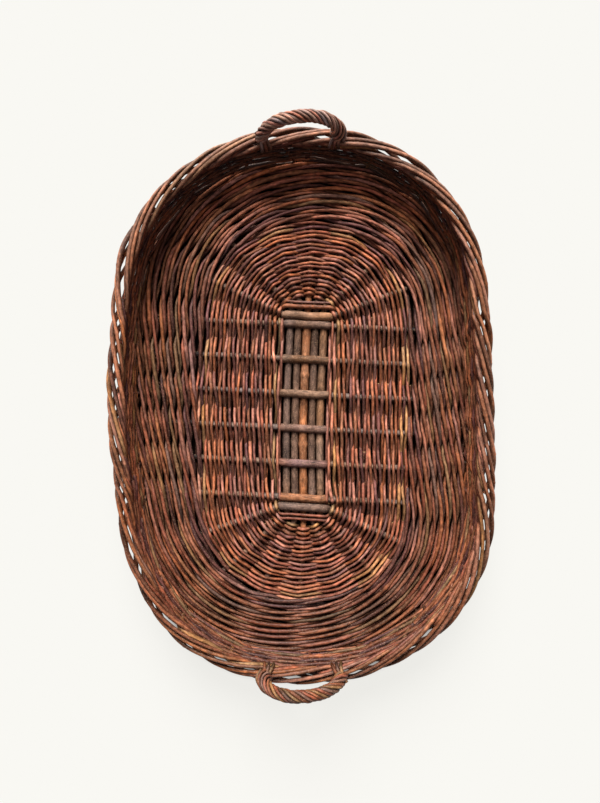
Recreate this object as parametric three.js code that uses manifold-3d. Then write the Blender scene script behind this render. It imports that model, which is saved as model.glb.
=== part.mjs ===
// Oval tray basket of brown willow with a pierced stick base, a low woven wall, a roped border
// and a roped handle at each end. Millimetres, +Z up, long axis along Y, standing on z = 0.
// Stations number the base sticks anticlockwise from above, starting at the right-hand side.

import * as THREE from 'three';
import { mergeVertices } from 'three/addons/utils/BufferGeometryUtils.js';
import Module from 'manifold-3d';

const wasm = await Module();
wasm.setup();

// Clearance between rods that touch in the real basket
const GAP = 0.3;

// Base sticks
const CROSS_STICK_COUNT = 6;
const CROSS_STICK_SPACING = 52.2;
const CROSS_STICK_WIDTH = 11;
const LONG_STICK_COUNT = 5;
const LONG_STICK_SPACING = 12.7;
const LONG_STICK_DIAMETER = 9.4;
const STICK_TIP_DIAMETER = 8.4;
const SPLIT_LIP = 4.2;
const SPLIT_END_WALL = 1.5;
const SPLIT_CLOSING_LENGTH = 8;
const SPLIT_SIDE_ROOM = 1;
const END_STICK_OFFSET = 15.5;
const STICK_SETBACK = 4;

// Base outline and its crown
const BASE_RADIUS = 234;
const END_DEPTH = 0.984;
const END_SQUARENESS = 2.14;
const SIDE_BOW = 0.023;
const CROWN = 3;

// Weave of the base
const BINDING_RADIUS = 46;
const BINDING_ROD_DIAMETER = 3.4;
const FINE_ROD_WIDTH = 5.9;
const FINE_ROD_THICKNESS = 4.2;
const FINE_ROW_PITCH = 8.4;
const WEAVERS = 2;
const WALE_RADIUS = 160;
const WALE_ROD_DIAMETER = 5.2;
const WALE_ROW_PITCH = 8.8;
const WALE_RODS = 3;

// Stakes, wall and border
const STAKE_DIAMETER = 5;
const STAKE_INSERT = 40;
const STAKE_TOP_DIAMETER = 4.2;
const STAKE_TURN_ALLOWANCE = 10;
const STAKES_PER_SET = 4;
const STAKE_EVENING = 0.6;
const STAKE_ROOM = 0.7;
const UPSETT_ROD_DIAMETER = 4.4;
const WALL_ROUNDS = 1.5;
const WALL_ROD_THICKNESS = 3.5;
const WALL_ROW_SPACE = 0.6;
const WALL_FLARE = 11;
const RIM_HEIGHT = 66;
const BORDER_CORE_DIAMETER = 9;
const BORDER_ROD_DIAMETER = 5.6;
const BORDER_STRANDS = 3;

// Handles
const BOW_DIAMETER = 8;
const BOW_RISE = 38;
const BOW_LEAN = 10;
const BOW_SKEW = 9;
const BOW_SQUARENESS = 2.3;
const FOOT_TO_STAKE = 12;
const ROPE_ROD_DIAMETER = 4.6;
const ROPE_STRANDS = 4;
const ROPE_PITCH = 40;
const ROPE_STEPS = 6;
const ROPE_ROOM = 0.7;
const LASHING_ROD_DIAMETER = 4;
const LASHING_TURNS = 1.75;
const LASHING_STEPS = 10;
const LASHING_TURN_GAP = 0.45;

// Hand-made unevenness: the slath lies turned and off centre, one end leans sideways, the other is askew
const SLATH_TURN = THREE.MathUtils.degToRad(-3);
const SLATH_SHIFT_X = 4.2;
const SLATH_SHIFT_Y = -8.3;
const LEAN = 11.2;
const LEAN_CENTRE = -223;
const LEAN_REACH = 149;
const LEAN_BALANCE = 1.65;
const END_TILT = 0.032;
const TILT_REACH = 330;

// Bark colours, and how matt peeled sticks and smooth rods are
const GREY_BROWN = 0x7b6352;
const PALE_STICK = 0xa87b57;
const RED_BROWN = 0x74432f;
const ORANGE_BROWN = 0x8f5533;
const DARK_BROWN = 0x4c2e28;
const STICK_ROUGHNESS = 0.7;
const ROD_ROUGHNESS = 0.5;

// Fineness of the working: joining of corners, slopes on the plan, repeated fitting of a slope, bow points
const MERGE_TOLERANCE = 1e-4;
const PLAN_STEP = 0.02;
const SLOPE_PASSES = 30;
const BOW_POINTS = 48;
const BOW_STEPS = 16;

// Counts and places that follow from the sizes above
const UP = new THREE.Vector3(0, 0, 1);
const TURN = 2 * Math.PI;
const SIDE_STEPS = CROSS_STICK_COUNT - 1;
const FAN_STEPS = LONG_STICK_COUNT + 3;
const HALF_STATIONS = SIDE_STEPS + FAN_STEPS;
const STATIONS = 2 * HALF_STATIONS;
const FAN_ANGLE = Math.PI / FAN_STEPS;
const HALF_STRAIGHT = (CROSS_STICK_SPACING * SIDE_STEPS) / 2;
const STAKES = 2 * STATIONS;
const STICK_REACH = BASE_RADIUS - STICK_SETBACK;
const STAKE_TURN_RADIUS = BASE_RADIUS + STAKE_TURN_ALLOWANCE;
const RIM_RADIUS = STAKE_TURN_RADIUS + WALL_FLARE;
const LONG_RADIUS = LONG_STICK_DIAMETER / 2;
const STAKE_RADIUS = STAKE_DIAMETER / 2;
const STICK_TIP_RADIUS = STICK_TIP_DIAMETER / 2;
const SPLIT_HALF_LENGTH = (LONG_STICK_SPACING * (LONG_STICK_COUNT - 1)) / 2 + LONG_RADIUS + SPLIT_SIDE_ROOM;
const SPLIT_HALF_HEIGHT = LONG_RADIUS + GAP;
const SLATH_RADIUS = SPLIT_HALF_LENGTH + SPLIT_END_WALL + SPLIT_CLOSING_LENGTH;
const FINE_RADIUS = BINDING_RADIUS + 2 * (BINDING_ROD_DIAMETER + 2 * GAP) + FINE_ROD_WIDTH / 2;
const WALE_LIFT = STICK_TIP_RADIUS + GAP + WALE_ROD_DIAMETER / 2;
const BASE_MIDDLE = WALE_LIFT + WALE_ROD_DIAMETER / 2;
const STAKE_BESIDE_STICK = STICK_TIP_RADIUS + GAP + STAKE_RADIUS;
const BORDER_CORE_RADIUS = BORDER_CORE_DIAMETER / 2;
const BORDER_STEP = TURN / BORDER_STRANDS / 2;
const BORDER_WIND_RADIUS = (BORDER_CORE_RADIUS + GAP + BORDER_ROD_DIAMETER / 2) / Math.cos(BORDER_STEP / 2);
const BORDER_RADIUS = Math.hypot(BORDER_WIND_RADIUS + BORDER_ROD_DIAMETER / 2, BORDER_ROD_DIAMETER / 2);
const LASHING_CLEAR_RADIUS = BORDER_WIND_RADIUS + (BORDER_ROD_DIAMETER + LASHING_ROD_DIAMETER) / 2 + GAP;
const LASHING_WIND_RADIUS = LASHING_CLEAR_RADIUS / Math.cos(Math.PI / LASHING_STEPS);
const WALL_TOP = RIM_HEIGHT - LASHING_WIND_RADIUS - LASHING_ROD_DIAMETER / 2 - GAP;

// Rod sections of unit half size: a square one with flat sides, and round ones with corners on the circle
const SQUARE = polygon(4, Math.SQRT2, Math.PI / 4);
const DIAMOND = polygon(4, 1, 0);
const HEXAGON = polygon(6, 1, 0);

function polygon(sides, radius, turn) {
  const corners = [];
  for (let i = 0; i < sides; i += 1) {
    const angle = turn + (TURN * i) / sides;
    corners.push(new THREE.Vector2(radius * Math.cos(angle), radius * Math.sin(angle)));
  }
  return new THREE.Shape(corners);
}

// A path whose rings are given one by one: each has a centre and the two half axes of the section
class RodPath extends THREE.Curve {
  constructor(rings) {
    super();
    this.rings = rings;
  }

  getSpacedPoints() {
    return this.rings.map((ring) => ring.center);
  }

  computeFrenetFrames() {
    const [first, second] = this.rings;
    const along = second.center.clone().sub(first.center);
    const side = Math.sign(first.across.clone().cross(first.up).dot(along));
    return {
      tangents: this.rings.map(() => along),
      normals: this.rings.map((ring) => ring.across.clone().multiplyScalar(side)),
      binormals: this.rings.map((ring) => ring.up),
    };
  }
}

function rod(rings, section) {
  return new THREE.ExtrudeGeometry(section, {
    steps: rings.length - 1,
    extrudePath: new RodPath(rings),
    bevelEnabled: false,
  });
}

// Solids for joining and cutting
function solid(geometry) {
  const bare = new THREE.BufferGeometry();
  bare.setAttribute('position', geometry.getAttribute('position'));
  const merged = mergeVertices(bare, MERGE_TOLERANCE);
  const vertProperties = merged.getAttribute('position').array;
  const triVerts = new Uint32Array(merged.index.array);
  return new wasm.Manifold(new wasm.Mesh({ numProp: 3, vertProperties, triVerts }));
}

function geometryOf(manifold) {
  const mesh = manifold.getMesh();
  const geometry = new THREE.BufferGeometry();
  geometry.setAttribute('position', new THREE.BufferAttribute(mesh.vertProperties, 3));
  geometry.setIndex(new THREE.BufferAttribute(mesh.triVerts, 1));
  geometry.computeVertexNormals();
  return geometry;
}

// Plan of the basket: a straight slath between two fans
function handMade(x, y, distance) {
  const share = (distance - WALE_RADIUS) / (STAKE_TURN_RADIUS - WALE_RADIUS);
  const hold = 1 - THREE.MathUtils.clamp(share, 0, 1);
  const cosine = Math.cos(SLATH_TURN * hold);
  const sine = Math.sin(SLATH_TURN * hold);
  const turnedX = x * cosine - y * sine + SLATH_SHIFT_X * hold;
  const turnedY = x * sine + y * cosine + SLATH_SHIFT_Y * hold;
  const lean = LEAN * Math.exp(-(((turnedY - LEAN_CENTRE) / LEAN_REACH) ** 2)) - LEAN_BALANCE;
  const leaning = turnedX + lean;
  const tilt = END_TILT * THREE.MathUtils.clamp(turnedY / TILT_REACH, 0, 1) ** 2;
  return new THREE.Vector3(leaning, turnedY + tilt * leaning, 0);
}

function stationPoint(station, distance) {
  const wrapped = THREE.MathUtils.euclideanModulo(station, STATIONS);
  const half = wrapped >= HALF_STATIONS ? -1 : 1;
  const step = half < 0 ? wrapped - HALF_STATIONS : wrapped;
  const onSide = step <= SIDE_STEPS;
  const angle = onSide ? 0 : (step - SIDE_STEPS) * FAN_ANGLE;
  const along = onSide ? step * CROSS_STICK_SPACING - HALF_STRAIGHT : HALF_STRAIGHT;
  const cosine = Math.cos(angle);
  const sine = Math.sin(angle);
  const power = Math.abs(cosine) ** END_SQUARENESS + (sine / END_DEPTH) ** END_SQUARENESS;
  const bow = onSide ? 1 + SIDE_BOW * (1 - (along / HALF_STRAIGHT) ** 2) : power ** (-1 / END_SQUARENESS);
  const reach = distance * bow;
  return handMade(half * reach * cosine, half * (along + reach * sine), distance);
}

// Unit directions at a place on the plan: forward runs anticlockwise, outward away from the middle
function stationFrame(station, distance) {
  const ahead = stationPoint(station + PLAN_STEP, distance);
  const behind = stationPoint(station - PLAN_STEP, distance);
  const forward = ahead.clone().sub(behind);
  const speed = forward.length() / (2 * PLAN_STEP);
  forward.normalize();
  const outward = new THREE.Vector3(forward.y, -forward.x, 0);
  return { forward, outward, speed };
}

// A stick runs straight through the wale to the turn of the stakes
function stickPoint(station, distance) {
  if (distance <= WALE_RADIUS) return stationPoint(station, distance);
  const share = (distance - WALE_RADIUS) / (STAKE_TURN_RADIUS - WALE_RADIUS);
  return stationPoint(station, WALE_RADIUS).lerp(stationPoint(station, STAKE_TURN_RADIUS), share);
}

// Unit directions of the stick at a station: along runs outwards, across anticlockwise
function stickFrame(station, distance) {
  const step = 1;
  const along = stickPoint(station, distance + step).sub(stickPoint(station, distance - step)).normalize();
  return { along, across: new THREE.Vector3(-along.y, along.x, 0) };
}

function baseMiddle(distance) {
  const share = THREE.MathUtils.clamp((distance - SLATH_RADIUS) / (WALE_RADIUS - SLATH_RADIUS), 0, 1);
  return BASE_MIDDLE + CROWN * (1 - share ** 2);
}

function stickRadius(distance) {
  const share = THREE.MathUtils.clamp((distance - SLATH_RADIUS) / (WALE_RADIUS - SLATH_RADIUS), 0, 1);
  return THREE.MathUtils.lerp(LONG_RADIUS, STICK_TIP_RADIUS, share);
}

// How far a rod's middle stands off what it crosses, when it passes the next one on the other side
function crossingOffset(crossedRadius, halfThickness, spacing) {
  let offset = crossedRadius + GAP + halfThickness;
  for (let pass = 0; pass < SLOPE_PASSES; pass += 1) {
    const slope = Math.atan((2 * offset) / spacing);
    offset = halfThickness + (crossedRadius + GAP) / Math.cos(slope);
  }
  return offset;
}

// Base sticks
const STICK_RINGS = [SLATH_RADIUS, (SLATH_RADIUS + WALE_RADIUS) / 2, WALE_RADIUS, STICK_REACH];

// A pierced stick: whole at its ends, split and spread round the long sticks in the middle
function piercedStick(place) {
  const eye = SPLIT_HALF_LENGTH + SPLIT_END_WALL;
  const reaches = [eye, ...STICK_RINGS];
  const distances = [...reaches.map((reach) => -reach).reverse(), ...reaches];
  const rings = distances.map((distance) => {
    const reach = Math.abs(distance);
    const { center, across } = place(distance);
    const split = reach <= eye;
    const halfWidth = split ? CROSS_STICK_WIDTH / 2 : stickRadius(reach);
    const halfHeight = split ? SPLIT_HALF_HEIGHT + SPLIT_LIP : stickRadius(reach);
    return { center, across: across.multiplyScalar(halfWidth), up: UP.clone().multiplyScalar(halfHeight) };
  });
  const slot = [-SPLIT_HALF_LENGTH, SPLIT_HALF_LENGTH].map((distance) => {
    const { center, across } = place(distance);
    const up = UP.clone().multiplyScalar(SPLIT_HALF_HEIGHT);
    return { center, across: across.multiplyScalar(CROSS_STICK_WIDTH), up };
  });
  return geometryOf(solid(rod(rings, HEXAGON)).subtract(solid(rod(slot, SQUARE))));
}

function crossStick(station) {
  const opposite = 2 * HALF_STATIONS - FAN_STEPS - station;
  return piercedStick((distance) => {
    const reach = Math.abs(distance);
    const here = distance < 0 ? opposite : station;
    const center = stickPoint(here, reach).setZ(baseMiddle(reach));
    const { across } = stickFrame(here, Math.max(reach, SLATH_RADIUS));
    return { center, across: distance < 0 ? across.negate() : across };
  });
}

// The pale end stick lies straight across the long sticks, and its ends bend into the fan
function endStick(half) {
  const bend = END_STICK_OFFSET / Math.tan(FAN_ANGLE);
  const fanned = END_STICK_OFFSET / Math.sin(FAN_ANGLE);
  const firstRay = half > 0 ? SIDE_STEPS + 1 : HALF_STATIONS + SIDE_STEPS + 1;
  const lastRay = firstRay + FAN_STEPS - 2;
  return piercedStick((distance) => {
    const reach = Math.abs(distance);
    const ray = distance > 0 ? firstRay : lastRay;
    if (reach <= bend) {
      const center = handMade(half * distance, half * (HALF_STRAIGHT + END_STICK_OFFSET), 0);
      return { center: center.setZ(baseMiddle(0)), across: new THREE.Vector3(0, half, 0) };
    }
    const out = Math.max(reach, fanned);
    const center = stickPoint(ray, out).setZ(baseMiddle(out));
    const { across } = stickFrame(ray, out);
    return { center, across: distance < 0 ? across.negate() : across };
  });
}

// Long sticks run straight through the slath, and bend into the fan at both ends
function longStick(index) {
  const side = index - (LONG_STICK_COUNT - 1) / 2;
  const x = side * LONG_STICK_SPACING;
  const angle = Math.PI / 2 - side * FAN_ANGLE;
  const straight = END_STICK_OFFSET + CROSS_STICK_WIDTH;
  const bendReach = side === 0 ? straight : Math.abs(x / Math.cos(angle));
  const bendY = HALF_STRAIGHT + bendReach * Math.sin(angle);
  const topRay = SIDE_STEPS + FAN_STEPS / 2 - side;
  const bottomRay = HALF_STATIONS + SIDE_STEPS + FAN_STEPS / 2 + side;
  const fanReaches = STICK_RINGS.filter((reach) => reach > bendReach + LONG_STICK_DIAMETER);
  const stops = [
    ...[...fanReaches].reverse().map((reach) => ({ point: stickPoint(bottomRay, reach), reach })),
    ...[-1, -0.5, 0, 0.5, 1].map((share) => ({ point: handMade(x, share * bendY, 0), reach: 0 })),
    ...fanReaches.map((reach) => ({ point: stickPoint(topRay, reach), reach })),
  ];
  const rings = stops.map(({ point, reach }, i) => {
    const before = stops[Math.max(i - 1, 0)].point;
    const after = stops[Math.min(i + 1, stops.length - 1)].point;
    const along = after.clone().sub(before).setZ(0).normalize();
    const radius = stickRadius(reach);
    return {
      center: point.clone().setZ(baseMiddle(reach)),
      across: new THREE.Vector3(along.y, -along.x, 0).multiplyScalar(radius),
      up: UP.clone().multiplyScalar(radius),
    };
  });
  return rod(rings, HEXAGON);
}

// Rods woven over and under the base sticks; heights are given as a side of +1 above or -1 below
function baseRing(station, distance, side, halfWidth, halfThickness, offset) {
  const center = stationPoint(station, distance).setZ(baseMiddle(distance) + side * offset);
  const across = stationFrame(station, distance).outward.multiplyScalar(halfWidth);
  return { center, across, up: UP.clone().multiplyScalar(halfThickness) };
}

function stickSpacing(station, distance) {
  const here = stationPoint(station, distance);
  const before = stationPoint(station - 1, distance).distanceTo(here);
  const after = stationPoint(station + 1, distance).distanceTo(here);
  return Math.min(before, after);
}

// Binding rods open the slath: over the long sticks together, then under and over the others in turn
function bindingRod(index) {
  const distance = BINDING_RADIUS + index * (BINDING_ROD_DIAMETER + 2 * GAP);
  const half = BINDING_ROD_DIAMETER / 2;
  const rings = [];
  for (let station = 0; station < STATIONS; station += 1) {
    const step = station % HALF_STATIONS;
    const grouped = step > SIDE_STEPS + 1 && step < HALF_STATIONS - 1;
    const turns = grouped ? SIDE_STEPS : step + (step > SIDE_STEPS ? 1 : 0);
    const flip = station >= HALF_STATIONS ? 1 : 0;
    const side = (turns + flip + index) % 2 === 0 ? -1 : 1;
    const spacing = stickSpacing(station, distance);
    const offset = crossingOffset(stickRadius(distance), half, spacing);
    rings.push(baseRing(station, distance, side, half, half, offset));
  }
  return rod(rings, SQUARE);
}

// Two weavers chase each other over alternate sticks, and spiral outwards
function fineWeaver(index) {
  const half = FINE_ROD_THICKNESS / 2;
  const start = index * HALF_STATIONS;
  const last = WALE_RADIUS - WALE_ROD_DIAMETER / 2 - GAP - FINE_ROD_WIDTH / 2;
  const rings = [];
  for (let station = start; ; station += 1) {
    const distance = FINE_RADIUS + (WEAVERS * FINE_ROW_PITCH * (station - start)) / STATIONS;
    if (distance > last) break;
    const side = (station + index) % 2 === 0 ? 1 : -1;
    const offset = crossingOffset(stickRadius(distance) + GAP / 2, half, stickSpacing(station, distance));
    rings.push(baseRing(station, distance, side, FINE_ROD_WIDTH / 2, half, offset));
  }
  return rod(rings, SQUARE);
}

// Three thicker rods waled over two sticks and under one; their under strokes are flat on the ground
function waleRod(index) {
  const half = WALE_ROD_DIAMETER / 2;
  const start = Math.round((index * STATIONS) / WALE_RODS);
  const growth = (WALE_RODS * WALE_ROW_PITCH) / STATIONS;
  const rings = [];
  for (let station = start; ; station += 1) {
    const middle = WALE_RADIUS + growth * (station - start);
    if (middle + half > BASE_RADIUS) break;
    const stroke = (station + 2 * index) % WALE_RODS;
    const flat = STAKE_BESIDE_STICK / stationFrame(station, middle).speed;
    const places = [[-flat, 0.5], [flat], [-flat, flat]][stroke];
    const side = stroke === 2 ? -1 : 1;
    for (const place of places) {
      rings.push(baseRing(station + place, middle + growth * place, side, half, half, WALE_LIFT));
    }
  }
  return rod(rings, SQUARE);
}

// Stakes: two to a stick, pushed in beside it, turned up at the edge and spaced out evenly towards the rim
const sideLength = CROSS_STICK_SPACING;
const fanLength = RIM_RADIUS * FAN_ANGLE;
const halfRimLength = SIDE_STEPS * sideLength + FAN_STEPS * fanLength;

function stationAtLength(length) {
  const wrapped = THREE.MathUtils.euclideanModulo(length, halfRimLength);
  const halves = (length - wrapped) / halfRimLength;
  const past = wrapped - SIDE_STEPS * sideLength;
  const step = past < 0 ? wrapped / sideLength : SIDE_STEPS + past / fanLength;
  return halves * HALF_STATIONS + step;
}

function rimStation(stake) {
  const paired = (stake - 0.5) / 2;
  const middleStake = SIDE_STEPS + 0.5;
  const spread = (2 * halfRimLength) / STAKES;
  const even = stationAtLength((SIDE_STEPS * sideLength) / 2 + (stake - middleStake) * spread);
  return THREE.MathUtils.lerp(paired, even, STAKE_EVENING);
}

function stakeInsert(stake, distance) {
  const station = Math.floor(stake / 2);
  const side = THREE.MathUtils.euclideanModulo(stake, 2) === 0 ? -1 : 1;
  const { across } = stickFrame(station, distance);
  const beside = across.multiplyScalar(side * STAKE_BESIDE_STICK);
  return stickPoint(station, distance).add(beside).setZ(BASE_MIDDLE);
}

function rimPoint(station) {
  return stationPoint(station, RIM_RADIUS).setZ(RIM_HEIGHT);
}

// A stake spreads sideways on its way up the wall, and is upright where it enters the border
function stakeAt(stake, height) {
  const foot = stakeInsert(stake, STAKE_TURN_RADIUS);
  const shoulderShare = (WALL_TOP - foot.z) / (RIM_HEIGHT - foot.z);
  const shoulderRadius = THREE.MathUtils.lerp(STAKE_TURN_RADIUS, RIM_RADIUS, shoulderShare);
  const shoulder = stationPoint(rimStation(stake), shoulderRadius).setZ(WALL_TOP);
  if (height <= WALL_TOP) {
    return foot.lerp(shoulder, (height - foot.z) / (WALL_TOP - foot.z));
  }
  return shoulder.lerp(rimPoint(rimStation(stake)), (height - WALL_TOP) / (RIM_HEIGHT - WALL_TOP));
}

function stakeRod(stake) {
  const foot = stickFrame(Math.floor(stake / 2), STAKE_TURN_RADIUS);
  const rim = stationFrame(rimStation(stake), RIM_RADIUS);
  const topRadius = STAKE_TOP_DIAMETER / 2;
  const rings = [
    {
      center: stakeInsert(stake, STAKE_TURN_RADIUS - STAKE_INSERT),
      across: foot.across.clone().multiplyScalar(STAKE_RADIUS),
      up: UP.clone().multiplyScalar(STAKE_RADIUS),
    },
    {
      center: stakeInsert(stake, STAKE_TURN_RADIUS),
      across: foot.across.clone().multiplyScalar(STAKE_RADIUS),
      up: UP.clone().sub(foot.along).multiplyScalar(STAKE_RADIUS),
    },
  ];
  for (const height of [WALL_TOP, RIM_HEIGHT]) {
    rings.push({
      center: stakeAt(stake, height),
      across: rim.forward.clone().multiplyScalar(topRadius),
      up: rim.outward.clone().multiplyScalar(-topRadius),
    });
  }
  return rod(rings, DIAMOND);
}

function rimRing(station, angle, radius, halfWidth, halfThickness) {
  const { forward, outward } = stationFrame(station, RIM_RADIUS);
  const spoke = outward.multiplyScalar(Math.cos(angle)).addScaledVector(UP, Math.sin(angle));
  const across = forward.cross(spoke).multiplyScalar(halfWidth);
  const center = rimPoint(station).addScaledVector(spoke, radius);
  return { center, across, up: spoke.multiplyScalar(halfThickness) };
}

// A set of neighbouring stakes with their tops laid together along the rim, as the core of the border
function stakeSet(index) {
  const first = index * STAKES_PER_SET;
  const last = first + STAKES_PER_SET - 1;
  const trim = GAP / 2 / stationFrame(rimStation(first), RIM_RADIUS).speed;
  const stations = [halfWay(first - 1) + trim];
  for (let stake = first; stake <= last; stake += 1) {
    stations.push(rimStation(stake));
    stations.push(stake < last ? halfWay(stake) : halfWay(stake) - trim);
  }
  const rings = stations.map((station) => {
    return rimRing(station, Math.PI / 2, 0, BORDER_CORE_RADIUS, BORDER_CORE_RADIUS);
  });
  let joined = solid(rod(rings, DIAMOND));
  for (let stake = first; stake <= last; stake += 1) {
    joined = joined.add(solid(stakeRod(stake)));
  }
  return geometryOf(joined);
}

function halfWay(stake) {
  return (rimStation(stake) + rimStation(stake + 1)) / 2;
}

// Border rods wind round the core, a third of a turn from stake to stake, clear of the stakes below it;
// each goes round once and ends where the next begins
function borderRod(index) {
  const half = BORDER_ROD_DIAMETER / 2;
  const trim = GAP / stationFrame(rimStation(STAKES), RIM_RADIUS).speed;
  const steps = 2 * STAKES;
  const rings = [];
  for (let step = 0; step <= steps; step += 1) {
    const stake = Math.floor(step / 2);
    const station = step % 2 === 0 ? rimStation(stake) : halfWay(stake);
    const angle = Math.PI / 2 + BORDER_STEP * (2 * index * STAKES + step);
    rings.push(rimRing(step < steps ? station : station - trim, angle, BORDER_WIND_RADIUS, half, half));
  }
  return rod(rings, SQUARE);
}

// Rods woven round the upright stakes, with their width along the stake; sides are +1 outside and -1 inside
function wallRing(stake, height, side, halfWidth, halfThickness) {
  const here = stakeAt(stake, height);
  const before = stakeAt(stake - 1, height);
  const after = stakeAt(stake + 1, height);
  const spacing = Math.min(before.distanceTo(here), after.distanceTo(here));
  const offset = crossingOffset(STAKE_RADIUS + STAKE_ROOM, halfThickness, spacing);
  const upwards = stakeAt(stake, WALL_TOP).sub(stakeAt(stake, BASE_MIDDLE)).normalize();
  const outward = after.sub(before).cross(upwards).normalize();
  return {
    center: here.addScaledVector(outward, side * offset),
    across: upwards.multiplyScalar(halfWidth),
    up: outward.multiplyScalar(halfThickness),
  };
}

const UPSETT_START = BASE_MIDDLE + STAKE_RADIUS + 2 * GAP + UPSETT_ROD_DIAMETER / 2;
const UPSETT_PITCH = UPSETT_ROD_DIAMETER + 2 * GAP;
const UPSETT_TOP = UPSETT_START + WALE_RODS * UPSETT_PITCH + UPSETT_ROD_DIAMETER / 2;
const WALL_BOTTOM = UPSETT_TOP + 2 * GAP;
const WALL_ROW_PITCH = (WALL_TOP - WALL_BOTTOM + WALL_ROW_SPACE) / (WEAVERS * WALL_ROUNDS + 1);
const WALL_ROD_WIDTH = WALL_ROW_PITCH - WALL_ROW_SPACE;

// Three rods wale the stakes upright at the foot of the wall, outside two and inside one
function upsettRod(index) {
  const start = Math.round((index * STAKES) / WALE_RODS);
  const half = UPSETT_ROD_DIAMETER / 2;
  const rings = [];
  for (let step = 0; step < STAKES; step += 1) {
    const stake = start + step;
    const height = UPSETT_START + (WALE_RODS * UPSETT_PITCH * step) / STAKES;
    const side = (stake + 2 * index) % WALE_RODS === 2 ? -1 : 1;
    rings.push(wallRing(stake, height, side, half, half));
  }
  return rod(rings, SQUARE);
}

// Two weavers chase each other up the wall, inside one stake and outside the next, and fill it to the top
function wallWeaver(index) {
  const start = index * STATIONS;
  const half = WALL_ROD_WIDTH / 2;
  const rings = [];
  for (let step = 0; step <= WALL_ROUNDS * STAKES; step += 1) {
    const stake = start + step;
    const height = WALL_BOTTOM + half + (WEAVERS * WALL_ROW_PITCH * step) / STAKES;
    const side = (stake + index) % 2 === 0 ? 1 : -1;
    rings.push(wallRing(stake, height, side, half, WALL_ROD_THICKNESS / 2));
  }
  return rod(rings, SQUARE);
}

// Handles: a bow stands on the border at each end, and four rods are roped round it
const ROPE_CLEAR_RADIUS = BOW_DIAMETER / 2 + ROPE_ROOM + ROPE_ROD_DIAMETER / 2;
const ROPE_WIND_RADIUS = ROPE_CLEAR_RADIUS / Math.cos(Math.PI / ROPE_STEPS);
const ROPE_RADIUS = Math.hypot(ROPE_WIND_RADIUS + ROPE_ROD_DIAMETER / 2, ROPE_ROD_DIAMETER / 2);
const BOW_FOOT_HEIGHT = RIM_HEIGHT + BORDER_RADIUS + ROPE_ROOM;

function footStation(middle, side) {
  const stakeStations = [];
  for (let stake = 0; stake <= 2 * STAKES; stake += 1) {
    stakeStations.push(rimStation(stake));
  }
  const beyond = stakeStations.filter((station) => side * (station - middle) > 0);
  const ordered = beyond.sort((a, b) => Math.abs(a - middle) - Math.abs(b - middle));
  return ordered[1] - (side * FOOT_TO_STAKE) / stationFrame(ordered[1], RIM_RADIUS).speed;
}

function bowFrame(middle) {
  const left = rimPoint(footStation(middle, 1)).setZ(BOW_FOOT_HEIGHT);
  const right = rimPoint(footStation(middle, -1)).setZ(BOW_FOOT_HEIGHT);
  const centre = left.clone().add(right).multiplyScalar(0.5);
  const span = left.clone().sub(centre);
  const sidewards = span.clone().normalize();
  const outward = new THREE.Vector3(span.y, -span.x, 0).normalize();
  const rise = UP.clone().multiplyScalar(BOW_RISE).addScaledVector(outward, BOW_LEAN);
  rise.addScaledVector(sidewards, -BOW_SKEW);
  const points = [];
  for (let i = 0; i <= BOW_POINTS; i += 1) {
    const angle = (Math.PI * i) / BOW_POINTS;
    const sideways = Math.sign(Math.cos(angle)) * Math.abs(Math.cos(angle)) ** (2 / BOW_SQUARENESS);
    const upwards = Math.sin(angle) ** (2 / BOW_SQUARENESS);
    points.push(centre.clone().addScaledVector(span, sideways).addScaledVector(rise, upwards));
  }
  const curve = new THREE.CatmullRomCurve3(points);
  const flat = span.clone().cross(rise).normalize();
  return { curve, flat, length: curve.getLength() };
}

function bowSpoke({ curve, flat }, share, angle) {
  const along = curve.getTangentAt(share);
  const turned = flat.clone().cross(along).normalize();
  const spoke = flat.clone().multiplyScalar(Math.cos(angle)).addScaledVector(turned, Math.sin(angle));
  return { point: curve.getPointAt(share), along, spoke };
}

function handleBow(frame) {
  const rings = [];
  for (let i = 0; i <= BOW_STEPS; i += 1) {
    const { point, along, spoke } = bowSpoke(frame, i / BOW_STEPS, 0);
    const across = spoke.multiplyScalar(BOW_DIAMETER / 2);
    rings.push({ center: point, across, up: across.clone().cross(along) });
  }
  return rod(rings, HEXAGON);
}

// Rope rods wind left-handed, and each ends straight for its own width at both feet
function ropeRod(frame, index) {
  const wound = frame.length - 2 * ROPE_ROD_DIAMETER;
  const turns = wound / ROPE_PITCH;
  const steps = Math.ceil(turns * ROPE_STEPS);
  const phase = (TURN * index) / ROPE_STRANDS;
  const lead = -Math.atan((TURN * ROPE_WIND_RADIUS) / ROPE_PITCH);
  const places = [{ length: 0, angle: phase, tilt: 0 }];
  for (let i = 0; i <= steps; i += 1) {
    const tilt = i === 0 || i === steps ? lead / 2 : lead;
    const share = i / steps;
    places.push({ length: ROPE_ROD_DIAMETER + wound * share, angle: phase - TURN * turns * share, tilt });
  }
  places.push({ length: frame.length, angle: phase - TURN * turns, tilt: 0 });
  const rings = places.map(({ length, angle, tilt }) => {
    const { point, along, spoke } = bowSpoke(frame, length / frame.length, angle);
    const round = along.clone().cross(spoke);
    const across = round.multiplyScalar(Math.cos(tilt)).addScaledVector(along, Math.sin(tilt));
    return {
      center: point.addScaledVector(spoke, ROPE_WIND_RADIUS),
      across: across.multiplyScalar(ROPE_ROD_DIAMETER / 2),
      up: spoke.multiplyScalar(ROPE_ROD_DIAMETER / 2),
    };
  });
  return { geometry: rod(rings, SQUARE), rings };
}

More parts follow.
